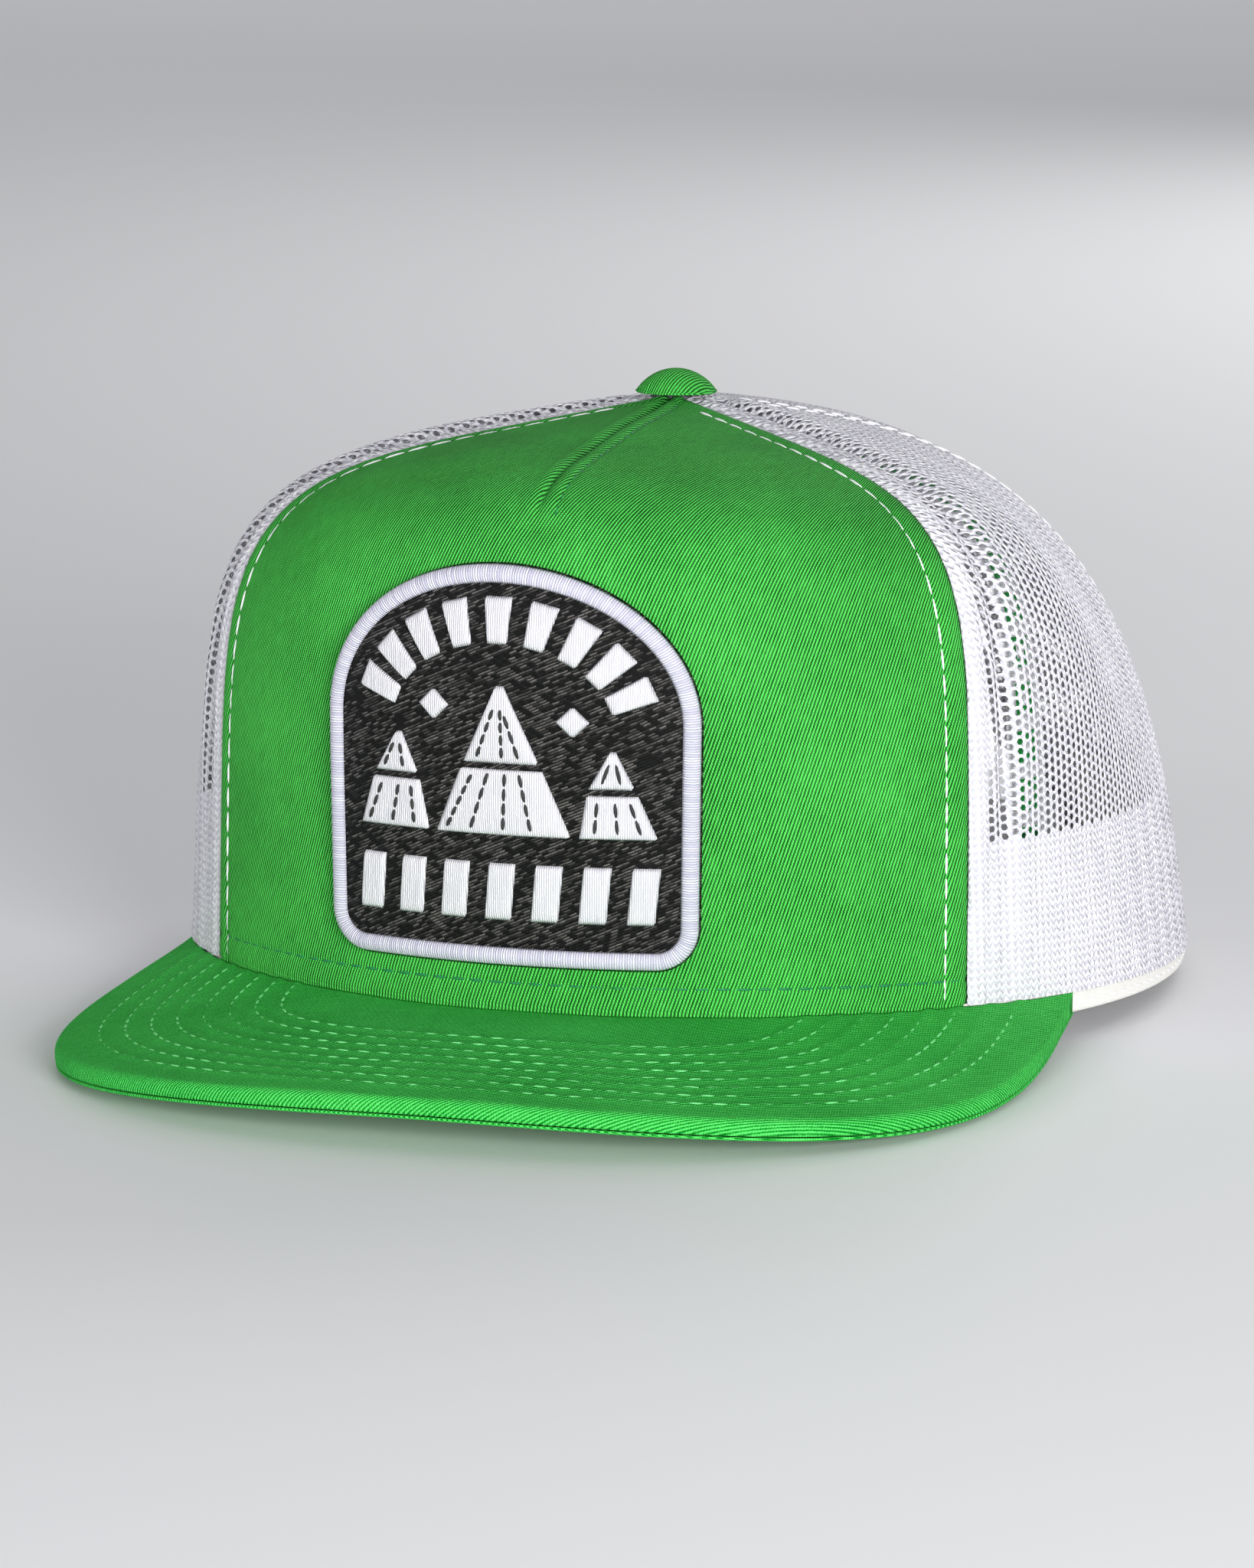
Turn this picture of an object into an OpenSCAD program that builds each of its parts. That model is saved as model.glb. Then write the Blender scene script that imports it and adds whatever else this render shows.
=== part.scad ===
// Five-panel trucker cap: stiff front panel, mesh sides and back, flat visor, snap strap.
// The front points to -Y and the wearer's left is +X. The cap rests on z = 0, tipped back a little,
// on the two visor corners and the back of the hem tape.

/* [Crown] */
// Half length of the head opening, front to back
crown_half_l = 100; // [97:0.5:103]
// Half width of the head opening
crown_half_w = 95.5; // [92:0.5:98]
// Height of the crown's top above the hem tape
crown_h = 108.5; // [104:0.5:112]
// How far the top button sits in front of the opening's centre
button_forward = 12.5; // [8:0.5:16]
// Angle from the front to each front seam
seam_angle = 49.5; // [46:0.5:53]
// Angle from the front to each side seam
side_seam_angle = 114; // [110:1:118]
// Gap from the hem tape's lower edge to the panels' lower edge
hem_gap = 3.5; // [3:0.1:4.5]
// Extra height of the front panel's lower edge
front_rise = 1.6; // [1:0.1:2.4]
// How far the resting cap is tipped back, in degrees
rest_tip = 2.2; // [2:0.05:2.4]

/* [Fabric] */
// Thickness of the front panel's twill
twill_t = 0.8; // [0.6:0.05:0.9]
// Thickness of the stiff backing behind the front panel
backing_t = 0.9; // [0.7:0.05:1]
// Thickness of the knitted mesh
mesh_t = 1.2; // [1:0.05:1.4]
// Thickness of the seam tapes
tape_t = 0.5; // [0.4:0.05:0.6]
// Height of the sweatband
band_h = 32; // [28:0.5:34]
// Thickness of the sweatband
band_t = 1.4; // [1.2:0.1:1.8]

/* [Visor] */
// Length of the visor at the middle
visor_len = 61.5; // [58:0.5:65]
// How far out the visor's sides are drawn, as a half width
visor_bow = 97; // [95:0.5:98]
// Angle from the front to each end of the visor
visor_angle = 65; // [63:0.5:67]
// Thickness of the visor's board
board_t = 2.3; // [2:0.1:2.6]
// Thickness of the visor's fabric
cover_t = 0.7; // [0.6:0.05:0.8]

/* [Rear opening and strap] */
// Half angle of the arched opening at the back
arch_angle = 32; // [30:0.5:34]
// Height of the arched opening above the hem
arch_h = 46; // [42:1:50]
// Width of each snap strap
strap_w = 18; // [16:0.5:19]
// Thickness of each snap strap
strap_t = 1.2; // [1:0.05:1.3]
// Distance between snaps
snap_pitch = 9.5; // [9:0.1:10]
// Radius of the snap pegs
peg_r = 1.9; // [1.8:0.05:1.95]
// Radius of the snap holes
hole_r = 2.3; // [2.25:0.05:2.4]

/* [Patch and button] */
// Width of the sewn patch
patch_w = 71; // [66:0.5:74]
// Height of the sewn patch
patch_h = 72.5; // [68:0.5:74]
// Radius of the covered button
button_r = 7.75; // [7:0.25:8.5]
// Height of the covered button
button_h = 4.6; // [4:0.1:5.2]

/* [Hidden] */
DEG = 180 / PI;
step = 0.2;                       // gap between sewn layers
joint_gap = 0.06;                 // half the angle left between neighbouring panels
rest_lift = crown_half_l * sin(rest_tip);
t_top = 0.978;                    // where the panels end, under the button
tape_depth = 2.4;                 // how far inside the crown's surface the tapes lie
band_depth = 2.2;                 // how far inside the crown's surface the sweatband lies
board_top = cover_t + 0.1;
board_low = board_top + board_t;
visor_t = board_low + 0.1 + cover_t;
arch_x = crown_half_w * sin(arch_angle);
arch_rise = crown_half_l * (1 - cos(arch_angle));
strap_r = (arch_x * arch_x + arch_rise * arch_rise) / (2 * arch_rise);
strap_y = crown_half_l - strap_r; // centre of the strap's arc
strap_in = strap_r - 7.9;         // inner face of the peg strap
strap_out = strap_in + strap_t + 0.3;
strap_low = 1.2;                  // lower edge of the straps
root_angle = asin(arch_x / strap_r) - 1.4; // where each strap hinges on its sewn tab
snap_angle = snap_pitch / strap_r * DEG;
tip_angle = 9.6;                  // how far each strap reaches past the middle
patch_low = hem_gap + 9.8;
patch_shift = -4;
patch_side_h = 44;                // height of the patch's straight sides
front_skin = 0.25;                // gap between the panel and the patch

// ---- crown surface ----

function smooth_step(x, a, b) = let (t = min(1, max(0, (x - a) / (b - a)))) t * t * (3 - 2 * t);

// blends a value from the front to the seam, the side and the back
function around(phi, front, seam, side, back) =
    let (c = abs(phi), w1 = smooth_step(c, 0, seam_angle), w2 = smooth_step(c, seam_angle, 95),
        w3 = smooth_step(c, 95, 180))
    front * (1 - w1) + seam * w1 * (1 - w2) + side * w2 * (1 - w3) + back * w3;

function hem_z(phi) = hem_gap + front_rise * (1 - smooth_step(abs(phi), 20, 100));

// phi turns from the front towards +X, t climbs from the hem (0) to the button (1)
function crown(phi, t) =
    let (power = around(phi, 8, 6.2, 3.4, 2.45), slope = around(phi, 0.107, 0.155, 0.108, 0.038),
        lean = around(phi, -0.07, 0.01, 0.14, 0.038),
        c = cos(90 * t), s = sin(90 * t), d = pow(pow(c, power) + pow(s, power), 1 / power),
        w = c / d, q = s / d, out = w * (1 - lean * q),
        bx = crown_half_w * sin(phi), by = button_forward - crown_half_l * cos(phi), z0 = hem_z(phi))
    [bx * out, by * out - button_forward, z0 + q * (crown_h - z0 - slope * norm([bx, by]) * w)];

function unit(v) = v / norm(v);

function crown_normal(phi, t) =
    let (lo = max(0, t - 0.003))
    unit(cross(crown(phi + 0.3, t) - crown(phi - 0.3, t), crown(phi, t + 0.003) - crown(phi, lo)));

// a point d outside the crown's surface
function off(phi, t, d) = crown(phi, t) + d * crown_normal(phi, t);

// t at which the crown reaches height z, found by halving
function t_at(phi, z, lo = 0, hi = 0.95, n = 13) =
    let (mid = (lo + hi) / 2)
    n == 0 ? mid : crown(phi, mid)[2] < z ? t_at(phi, z, mid, hi, n - 1) : t_at(phi, z, lo, mid, n - 1);

function base_point(phi) = [crown_half_w * sin(phi), -crown_half_l * cos(phi)];

// angle that lies mm beside phi at height t; near the button it closes up
function beside(phi, t, mm) =
    let (p = crown(phi, t), r = norm([p[0], p[1] + button_forward]))
    phi + mm * min(1, r / 60) / r * DEG;

// ---- sheets ----

// a closed sheet between two grids of points, a[i][j] outside and b[i][j] inside
module sheet(a, b, closed = false) {
    rows = len(a);
    cols = len(a[0]);
    below = rows * cols;
    last = closed ? rows - 1 : rows - 2;
    function at(i, j) = (i % rows) * cols + j;
    outside = [for (i = [0:last], j = [0:cols - 2]) each
        [[at(i, j), at(i, j + 1), at(i + 1, j + 1)], [at(i, j), at(i + 1, j + 1), at(i + 1, j)]]];
    inside = [for (f = outside) [f[2] + below, f[1] + below, f[0] + below]];
    low = [for (i = [0:last]) each
        [[at(i, 0), at(i + 1, 0), at(i + 1, 0) + below], [at(i, 0), at(i + 1, 0) + below, at(i, 0) + below]]];
    high = [for (i = [0:last], j = [cols - 1]) each
        [[at(i + 1, j), at(i, j), at(i, j) + below], [at(i + 1, j), at(i, j) + below, at(i + 1, j) + below]]];
    ends = closed ? [] : [for (j = [0:cols - 2]) each
        let (s = at(0, j), u = at(0, j + 1), v = at(rows - 1, j), w = at(rows - 1, j + 1))
        [[u, s, s + below], [u, s + below, u + below], [v, w, w + below], [v, w + below, v + below]]];
    polyhedron(concat([for (r = a) each r], [for (r = b) each r]),
        concat(outside, inside, low, high, ends));
}

// the rows that every layer of the crown shares, closest together at the crease
levels = [0, 0.03, 0.1, 0.17, 0.24, 0.31, 0.37, 0.42, 0.455, 0.48, 0.5, 0.52, 0.545, 0.58, 0.62, 0.67,
    0.73, 0.8, 0.87, 0.93, t_top];
rows = len(levels) - 1;

// the same rows above a lower edge at t = low
function levels_above(low, first = 0, last = rows) =
    [for (i = [first:last]) low + (t_top - low) * levels[i] / t_top];

// evenly spaced values from a to b
function spread(a, b, n) = [for (i = [0:n]) a + (b - a) * i / n];

// a strip of the crown between two depths; each entry of spans is [phi, t_low]
module crown_strip(spans, outer, inner) {
    sheet([for (s = spans) [for (t = levels_above(s[1])) off(s[0], t, -outer)]],
        [for (s = spans) [for (t = levels_above(s[1])) off(s[0], t, -inner)]]);
}

// the cap as it rests: tipped back and lifted onto z = 0
module resting() {
    translate([0, 0, rest_lift]) rotate([-rest_tip, 0, 0]) children();
}

// ---- crown panels ----

module front_layer(outer, inner) {
    crown_strip([for (phi = spread(-seam_angle + joint_gap, seam_angle - joint_gap, 18)) [phi, 0]],
        outer, inner);
}

module front_panel() {
    color("forestgreen") resting() front_layer(0, twill_t);
}

module front_backing() {
    color("whitesmoke") resting() front_layer(twill_t + 0.1, twill_t + 0.1 + backing_t);
}

module side_mesh(side) {
    angles = spread(seam_angle + joint_gap, side_seam_angle - joint_gap, 10);
    color("white") resting() crown_strip([for (i = [0:10]) [side * angles[side > 0 ? i : 10 - i], 0]],
        0, mesh_t);
}

// height of the panels' lower edge, with the arch cut out at the back
function arch_z(phi) =
    let (u = (180 - abs(phi)) / arch_angle)
    u >= 1 ? hem_z(phi) : hem_gap + arch_h * sqrt(1 - u * u);

function low_t(phi) = (180 - abs(phi)) >= arch_angle ? 0 : t_at(phi, arch_z(phi));

module back_mesh(side) {
    angles = concat(spread(side_seam_angle + joint_gap, 180 - arch_angle, 5),
        [for (i = [1:18]) 180 - arch_angle * cos(5 * i)]);
    color("white") resting() mirror([side > 0 ? 0 : 1, 0, 0])
        crown_strip([for (a = angles) let (phi = min(a, 180 - joint_gap)) [phi, low_t(phi)]], 0, mesh_t);
}

// binding folded round the arch's edge: out along the mesh, round its rim and back inside
module arch_binding() {
    wide = 7;
    fold = [[wide, 0.8], [wide * 0.5, 0.8], [0, 0.8], [-0.9, 0.8], [-0.9, -mesh_t - 0.8], [0, -mesh_t - 0.8],
        [wide * 0.5, -mesh_t - 0.8], [wide, -mesh_t - 0.8]];
    skin = [[wide, 0.35], [wide * 0.5, 0.35], [0.05, 0.35], [-0.4, 0.35], [-0.4, -mesh_t - 0.35],
        [0.05, -mesh_t - 0.35], [wide * 0.5, -mesh_t - 0.35], [wide, -mesh_t - 0.35]];
    n = 36;
    // position along the arch, from one foot to the other, as an angle and a height
    function at(i, out, d) =
        let (a = 180 * i / n, turn = 180 - (arch_angle + out / crown_half_w * DEG) * cos(a),
            phi = turn > 180 ? turn - 360 : turn, z = hem_gap + 0.2 + (arch_h + out) * sin(a))
        off(phi, t_at(phi, z), d);
    color("white") resting()
        sheet([for (i = [n:-1:0]) [for (p = fold) at(i, p[0], p[1])]],
            [for (i = [n:-1:0]) [for (p = skin) at(i, p[0], p[1])]]);
}

// ---- tapes ----

// a tape along a seam, from the sweatband up, and from mm_a to mm_b beside the seam
module seam_tape(phi, mm_a, mm_b, depth) {
    heights = concat([t_at(phi, band_h + 0.8)], levels_above(0, 4, rows - 2));
    function row(mm, d) = [for (t = heights) off(beside(phi, t, mm), t, -d)];
    sheet([for (mm = spread(mm_a, mm_b, 2)) row(mm, depth)],
        [for (mm = spread(mm_a, mm_b, 2)) row(mm, depth + tape_t)]);
}

module left_seam_tape() { color("white") resting() seam_tape(seam_angle, -6, 5, tape_depth); }
module right_seam_tape() { color("white") resting() seam_tape(-seam_angle, -5, 6, tape_depth); }
module left_print_tape() { color("honeydew") resting() seam_tape(seam_angle, 10.5, 20.5, tape_depth); }
module right_print_tape() { color("honeydew") resting() seam_tape(-seam_angle, -20.5, -10.5, tape_depth); }
module left_side_tape() { color("white") resting() seam_tape(side_seam_angle, -6, 6, tape_depth); }
module right_side_tape() { color("white") resting() seam_tape(-side_seam_angle, -6, 6, tape_depth); }

module back_tape() {
    heights = levels_above(low_t(180), 5, rows - 2);
    function row(mm, d) = [for (t = heights) off(beside(180, t, mm), t, -d)];
    color("white") resting() sheet([for (mm = [-6, 0, 6]) row(mm, tape_depth)],
        [for (mm = [-6, 0, 6]) row(mm, tape_depth + tape_t)]);
}

// ---- bands round the opening ----

module sweatband() {
    open = 180 - arch_angle - 7;
    n = 46;
    function column(phi, d) = [for (z = [0.4, hem_z(phi), hem_z(phi) + 12, band_h])
        z < hem_z(phi) ? off(phi, 0, -d) + [0, 0, z - hem_z(phi)] : off(phi, t_at(phi, z), -d)];
    color("ivory") resting() sheet([for (phi = spread(-open, open, n)) column(phi, band_depth)],
        [for (phi = spread(-open, open, n)) column(phi, band_depth + band_t)]);
}

// the folded tape that shows under the mesh; its lower face is flat
module hem_tape() {
    open = 180 - arch_angle - 1;
    n = 90;
    function ring(d) = [for (phi = spread(-open, open, n)) base_point(phi) * (1 - d / crown_half_w)];
    outer = ring(0.7);
    inner = ring(1.9);
    color("ivory") resting() linear_extrude(hem_gap - 0.2)
        polygon(concat(outer, [for (i = [0:n]) inner[n - i]]));
}

module care_label() {
    wide = 9;
    color("white") resting() sheet(
        [for (x = spread(-wide, wide, 4)) [for (z = [14, 24, 34, 44]) label_point(x, z, 5.0)]],
        [for (x = spread(-wide, wide, 4)) [for (z = [14, 24, 34, 44]) label_point(x, z, 5.4)]]);
}

function label_point(x, z, depth) =
    let (phi = x / crown_half_w * DEG) off(phi, t_at(phi, z), -depth);

// ---- visor ----

// outer edge of the visor at angle phi
function visor_edge(phi, inset) =
    let (turn = 90 * phi / visor_angle, power = 2 / 2.6, ends = base_point(visor_angle),
        half = ends[0] + (visor_bow - inset - ends[0]) * sin(2 * abs(turn)),
        side = sign(turn) * pow(abs(sin(turn)), power), ahead = pow(max(0, cos(turn)), power))
    [half * side, ends[1] - (crown_half_l + visor_len - inset + ends[1]) * ahead];

// height of the visor's top: arched across, and lifted where it meets the crown
function visor_z(phi, p) =
    let (flat = hem_gap + front_rise + 0.07 * (p[1] + crown_half_l) - 0.001 * p[0] * p[0],
        away = norm(p - base_point(phi)))
    flat + (hem_z(phi) - flat) * exp(-away / 12) - 0.1;

function visor_point(phi, s, inset, drop) =
    let (a = base_point(phi), b = visor_edge(phi, inset), p = a + (b - a) * s)
    [p[0], p[1], visor_z(phi, p) - drop];

visor_span = spread(-visor_angle * 0.992, visor_angle * 0.992, 32);
visor_rows = [0, 0.1, 0.25, 0.5, 0.75, 1];

module visor_layer(inset, top, low) {
    sheet([for (phi = visor_span) [for (i = [5:-1:0]) visor_point(phi, visor_rows[i], inset, top)]],
        [for (phi = visor_span) [for (i = [5:-1:0]) visor_point(phi, visor_rows[i], inset, low)]]);
}

// the top fabric also folds down over the board's rim
module visor_top_cover() {
    function outer(phi) = concat([visor_point(phi, 1, 0, board_low)],
        [for (i = [5:-1:0]) visor_point(phi, visor_rows[i], 0, 0)]);
    function inner(phi) = concat([visor_point(phi, 1, cover_t, board_low)],
        [for (i = [5:-1:0]) visor_point(phi, visor_rows[i], cover_t, cover_t)]);
    color("green") resting()
        sheet([for (phi = visor_span) outer(phi)], [for (phi = visor_span) inner(phi)]);
}

module visor_board() {
    color("dimgray") resting() visor_layer(cover_t + 0.25, board_top, board_low);
}

module visor_under_cover() {
    color("limegreen") resting() visor_layer(0, board_low + 0.1, visor_t);
}

// ---- top button ----

module on_top() {
    resting() translate([0, -button_forward, crown_h + 0.2]) children();
}

// a dome of radius r and height h, standing on z = 0
module dome(r, h) {
    ball = (r * r + h * h) / (2 * h);
    rotate_extrude($fn = 64) intersection() {
        translate([0, h - ball]) circle(ball, $fn = 128);
        square([r, h]);
    }
}

module button_cover() {
    color("forestgreen") on_top() difference() {
        dome(button_r, button_h);
        translate([0, 0, -0.01]) dome(button_r - 0.7, button_h - 0.6);
    }
}

module button_shell() {
    color("silver") on_top() difference() {
        dome(button_r - 0.8, button_h - 0.7);
        translate([0, 0, -0.01]) dome(button_r - 1.3, button_h - 1.2);
    }
}

// post through the crown with a disc inside, so that it clamps the panels' tips
module button_rivet() {
    color("silver") on_top() {
        translate([0, 0, -4.8]) cylinder(h = 0.8, r = 6, $fn = 48);
        translate([0, 0, -4.2]) cylinder(h = 4.2 + button_h - 1.5, r = 1.4, $fn = 48);
    }
}

// ---- patch ----

// a point on the front, x along the panel and z up from the patch's lower edge
function patch_point(x, z, d) =
    let (phi = (x + patch_shift) / crown_half_w * DEG) off(phi, t_at(phi, patch_low + z), d);

// the patch's outline at u = -1 to 1 across it: rounded feet below, an arched head above
function foot_z(u, grow) =
    let (r = 8, gap = max(0, abs(u) * (patch_w / 2) - (patch_w / 2 - r)))
    r - sqrt(max(0, r * r - gap * gap)) - grow;
function head_z(u, grow) = patch_side_h + (patch_h - patch_side_h + grow) * sqrt(max(0, 1 - u * u));

module patch_ground() {
    n = 18;
    inset = 0.97;
    function column(k, d) =
        let (u = sin(90 * (2 * k / n - 1)) * inset)
        [for (z = spread(foot_z(u, 0) + 0.8, head_z(u, 0) - 0.8, 11)) patch_point(u * patch_w / 2, z, d)];
    color("black") resting() sheet([for (k = [0:n]) column(k, front_skin + 1.0)],
        [for (k = [0:n]) column(k, front_skin)]);
}

// outline of the patch, shrunk by m, as a closed list of [x, z]
function outline(m) =
    let (half = patch_w / 2 - m, r = 8 - m)
    concat([for (a = [0:10:180]) [half * cos(a), patch_side_h + (patch_h - patch_side_h - m) * sin(a)]],
        [for (k = [1:4]) [-half, patch_side_h + (m + r - patch_side_h) * k / 5]],
        [for (a = [180:22.5:270]) [-half + r + r * cos(a), m + r + r * sin(a)]],
        [for (k = [1:8]) [(half - r) * (k / 4.5 - 1), m]],
        [for (a = [270:22.5:360]) [half - r + r * cos(a), m + r + r * sin(a)]],
        [for (k = [1:4]) [half, patch_side_h + (m + r - patch_side_h) * (5 - k) / 5]]);

module patch_border() {
    edge = outline(0.6);
    rim = outline(3.6);
    n = len(edge) - 1;
    color("white") resting() sheet(
        [for (i = [0:n]) [for (p = [edge[i], (edge[i] + rim[i]) / 2, rim[i]]) patch_point(p[0], p[1], front_skin + 2.0)]],
        [for (i = [0:n]) [for (p = [edge[i], (edge[i] + rim[i]) / 2, rim[i]]) patch_point(p[0], p[1], front_skin + 1.25)]],
        closed = true);
}

// a raised stitched block with corners [x, z] given round it from the lower left
module block(c) {
    function at(u, v) = (c[0] * (1 - u) + c[1] * u) * (1 - v) + (c[3] * (1 - u) + c[2] * u) * v;
    function grid(d) = [for (u = [0, 0.5, 1]) [for (v = [0, 0.5, 1]) let (p = at(u, v)) patch_point(p[0], p[1], d)]];
    sheet(grid(front_skin + 2.0), grid(front_skin + 1.25));
}

// a wedge that points outwards at angle a of the arched row
function wedge(a) =
    let (c = [24.5 * cos(a), 43 + 19.5 * sin(a)], n = unit([cos(a) / 24.5, sin(a) / 19.5]), side = [n[1], -n[0]])
    [c - n * 4.2 - side * 1.8, c - n * 4.2 + side * 1.8, c + n * 4.2 + side * 2.6, c + n * 4.2 - side * 2.6];

// a plain picture: an arched row of wedges, three peaks with two stars, and a row of slanted blocks
peaks = [
    [[-12, 24], [13, 24], [8, 36], [-7, 36]],
    [[-6.5, 37], [7.5, 37], [1.2, 51], [-0.2, 51]],
    [[-28, 24], [-13.2, 24], [-15, 33], [-25, 33]],
    [[-24.5, 34], [-15.3, 34], [-18.6, 41.5], [-19.6, 41.5]],
    [[14.2, 24], [28, 24], [24.5, 32], [15.5, 32]],
    [[15.8, 33], [24, 33], [20.6, 40], [19.6, 40]]];
stars = [[13.2, 45], [-12, 47]];

module patch_motif() {
    color("white") resting() {
        for (a = [20:17.5:160]) block(wedge(a));
        for (p = peaks) block(p);
        for (c = stars) block([c - [3, 0], c - [0, 3], c + [3, 0], c + [0, 3]]);
        for (x = [-25.5:8.5:25.5]) block([[x - 3, 8.5], [x + 2, 8.5], [x + 3, 19], [x - 2, 19]]);
    }
}

// ---- snap strap ----

// an upright band on the strap's arc; a is measured from the back towards +X
module arc_band(r, t, a1, a2, low, high) {
    translate([0, strap_y, low]) rotate([0, 0, 90 - a2]) rotate_extrude(angle = a2 - a1, $fn = 360)
        translate([r, 0]) square([t, high - low]);
}

module strap_round(r, a) {
    translate([0, strap_y, strap_low + strap_w / 2]) rotate([0, 0, -a]) rotate([-90, 0, 0])
        translate([0, 0, r]) children();
}

// cuts that take the corners off a strap's tip
module tip_corners(r, a) {
    for (side = [-1, 1]) strap_round(r - 1, a) translate([0, side * strap_w / 2, 2])
        rotate([0, 0, 45]) cube([5, 5, 8], center = true);
}

// the outer strap, punched with holes; it bends between the holes, so each hole is in a flat
module hole_strap() {
    bends = concat([-tip_angle], [for (k = [-1:5]) (k - 0.5) * snap_angle], [root_angle - 0.5]);
    last = len(bends) - 1;
    function side(r) = [for (a = bends) [r * sin(a), strap_y + r * cos(a)]];
    inner = side(strap_out / cos(snap_angle / 2));
    outer = side((strap_out + strap_t) / cos(snap_angle / 2));
    color("white") resting() difference() {
        translate([0, 0, strap_low]) linear_extrude(strap_w)
            polygon(concat(inner, [for (i = [0:last]) outer[last - i]]));
        tip_corners(strap_out, -tip_angle);
        for (k = [-1:4]) strap_round(strap_out - 1, k * snap_angle)
            cylinder(h = strap_t + 2, r = hole_r, $fn = 32);
    }
}

// the inner strap, with pegs that point outwards
module peg_strap() {
    color("white") resting() {
        difference() {
            arc_band(strap_in, strap_t, -root_angle + 0.5, tip_angle, strap_low, strap_low + strap_w);
            tip_corners(strap_in, tip_angle);
        }
        for (k = [-4:1]) strap_round(strap_in + 0.5, k * snap_angle)
            cylinder(h = strap_t + 2.1, r = peg_r, $fn = 32);
    }
}

// sewn ends of the straps, inside the mesh
module hole_strap_tab() {
    color("white") resting() arc_band(strap_out, strap_t, root_angle + 0.5, root_angle + 7, strap_low + 2.6,
        strap_low + strap_w + 3);
}

module peg_strap_tab() {
    color("white") resting() arc_band(strap_in, strap_t, -root_angle - 7, -root_angle - 0.5, strap_low + 2.6,
        strap_low + strap_w + 3);
}

front_panel();
front_backing();
side_mesh(1);  // left_side_mesh
side_mesh(-1);  // right_side_mesh
back_mesh(1);  // left_back_mesh
back_mesh(-1);  // right_back_mesh
visor_top_cover();
visor_board();
visor_under_cover();
sweatband();
hem_tape();
arch_binding();
left_seam_tape();
right_seam_tape();
left_print_tape();
right_print_tape();
left_side_tape();
right_side_tape();
back_tape();
button_cover();
button_shell();
button_rivet();
patch_ground();
patch_border();
patch_motif();
care_label();
hole_strap();
peg_strap();
hole_strap_tab();
peg_strap_tab();
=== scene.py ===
import math

import bmesh
import bpy
import numpy as np
from mathutils import Matrix, Vector


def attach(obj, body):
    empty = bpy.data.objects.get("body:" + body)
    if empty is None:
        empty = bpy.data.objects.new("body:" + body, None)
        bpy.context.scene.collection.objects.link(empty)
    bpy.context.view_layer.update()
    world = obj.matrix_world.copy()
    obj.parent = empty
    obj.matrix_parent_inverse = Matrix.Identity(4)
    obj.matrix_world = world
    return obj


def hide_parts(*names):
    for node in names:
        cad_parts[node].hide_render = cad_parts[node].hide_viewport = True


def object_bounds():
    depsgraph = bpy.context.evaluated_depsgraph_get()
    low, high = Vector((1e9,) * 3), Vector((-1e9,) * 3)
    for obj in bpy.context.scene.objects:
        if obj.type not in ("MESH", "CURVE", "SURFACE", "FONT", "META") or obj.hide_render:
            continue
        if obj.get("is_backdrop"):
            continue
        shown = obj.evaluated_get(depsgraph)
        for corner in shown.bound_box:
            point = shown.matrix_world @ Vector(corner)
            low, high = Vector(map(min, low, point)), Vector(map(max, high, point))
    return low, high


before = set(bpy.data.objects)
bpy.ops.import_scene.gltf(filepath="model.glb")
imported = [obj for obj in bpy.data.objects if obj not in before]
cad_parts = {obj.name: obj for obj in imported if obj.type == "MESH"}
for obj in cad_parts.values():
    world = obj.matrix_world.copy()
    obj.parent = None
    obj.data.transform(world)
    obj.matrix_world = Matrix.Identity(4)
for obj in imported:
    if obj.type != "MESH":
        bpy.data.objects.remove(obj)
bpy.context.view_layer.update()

# The cap's own frame is in millimetres: the head opening's plane is z = 0, the front points to -Y and
# the wearer's left is +X. resting() tips it back as it stands and turns it into metres.
MM = 0.001
DEG = 180 / math.pi
HALF_L, HALF_W, HEIGHT = 100.0, 95.5, 108.5   # half the head opening each way, the crown's height
FORWARD = 12.5                     # how far the button sits ahead of the opening's middle
FRONT_SEAM, SIDE_SEAM = 49.5, 114.0   # angles from the front
HEM_GAP, FRONT_RISE = 3.5, 1.6
TIP = math.radians(2.2)
LIFT = HALF_L * math.sin(TIP)
T_TOP = 0.978                      # where the panels end, under the button
ARCH_ANGLE, ARCH_H = 32.0, 46.0
TAPE_DEPTH, BAND_H = 2.4, 32.0
VISOR_LEN, VISOR_BOW, VISOR_ANGLE = 61.5, 97.0, 65.0
PATCH_W, PATCH_H, PATCH_SIDE_H = 71.0, 72.5, 44.0
PATCH_LOW, PATCH_SHIFT, SKIN = HEM_GAP + 9.8, -4.0, 0.25
BUTTON_R, BUTTON_H = 7.75, 4.6


# ---- the crown's surface ----

def smooth_step(x, a, b):
    t = np.clip((x - a) / (b - a), 0, 1)
    return t * t * (3 - 2 * t)


def near(x, middle, width):
    """1 at the middle, falling away on both sides."""
    return np.exp(-((x - middle) / width) ** 2)


def run_lengths(points):
    """The length along a run of points, up to each of them."""
    return np.concatenate([[0], np.cumsum(np.linalg.norm(np.diff(points, axis=0), axis=1))])


def around(phi, front, seam, side, back):
    """Blend a value from the front to the seam, the side and the back."""
    c = np.abs(phi)
    w1, w2, w3 = smooth_step(c, 0, FRONT_SEAM), smooth_step(c, FRONT_SEAM, 95), smooth_step(c, 95, 180)
    return front * (1 - w1) + seam * w1 * (1 - w2) + side * w2 * (1 - w3) + back * w3


def hem_z(phi):
    return HEM_GAP + FRONT_RISE * (1 - smooth_step(np.abs(phi), 20, 100))


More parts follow.
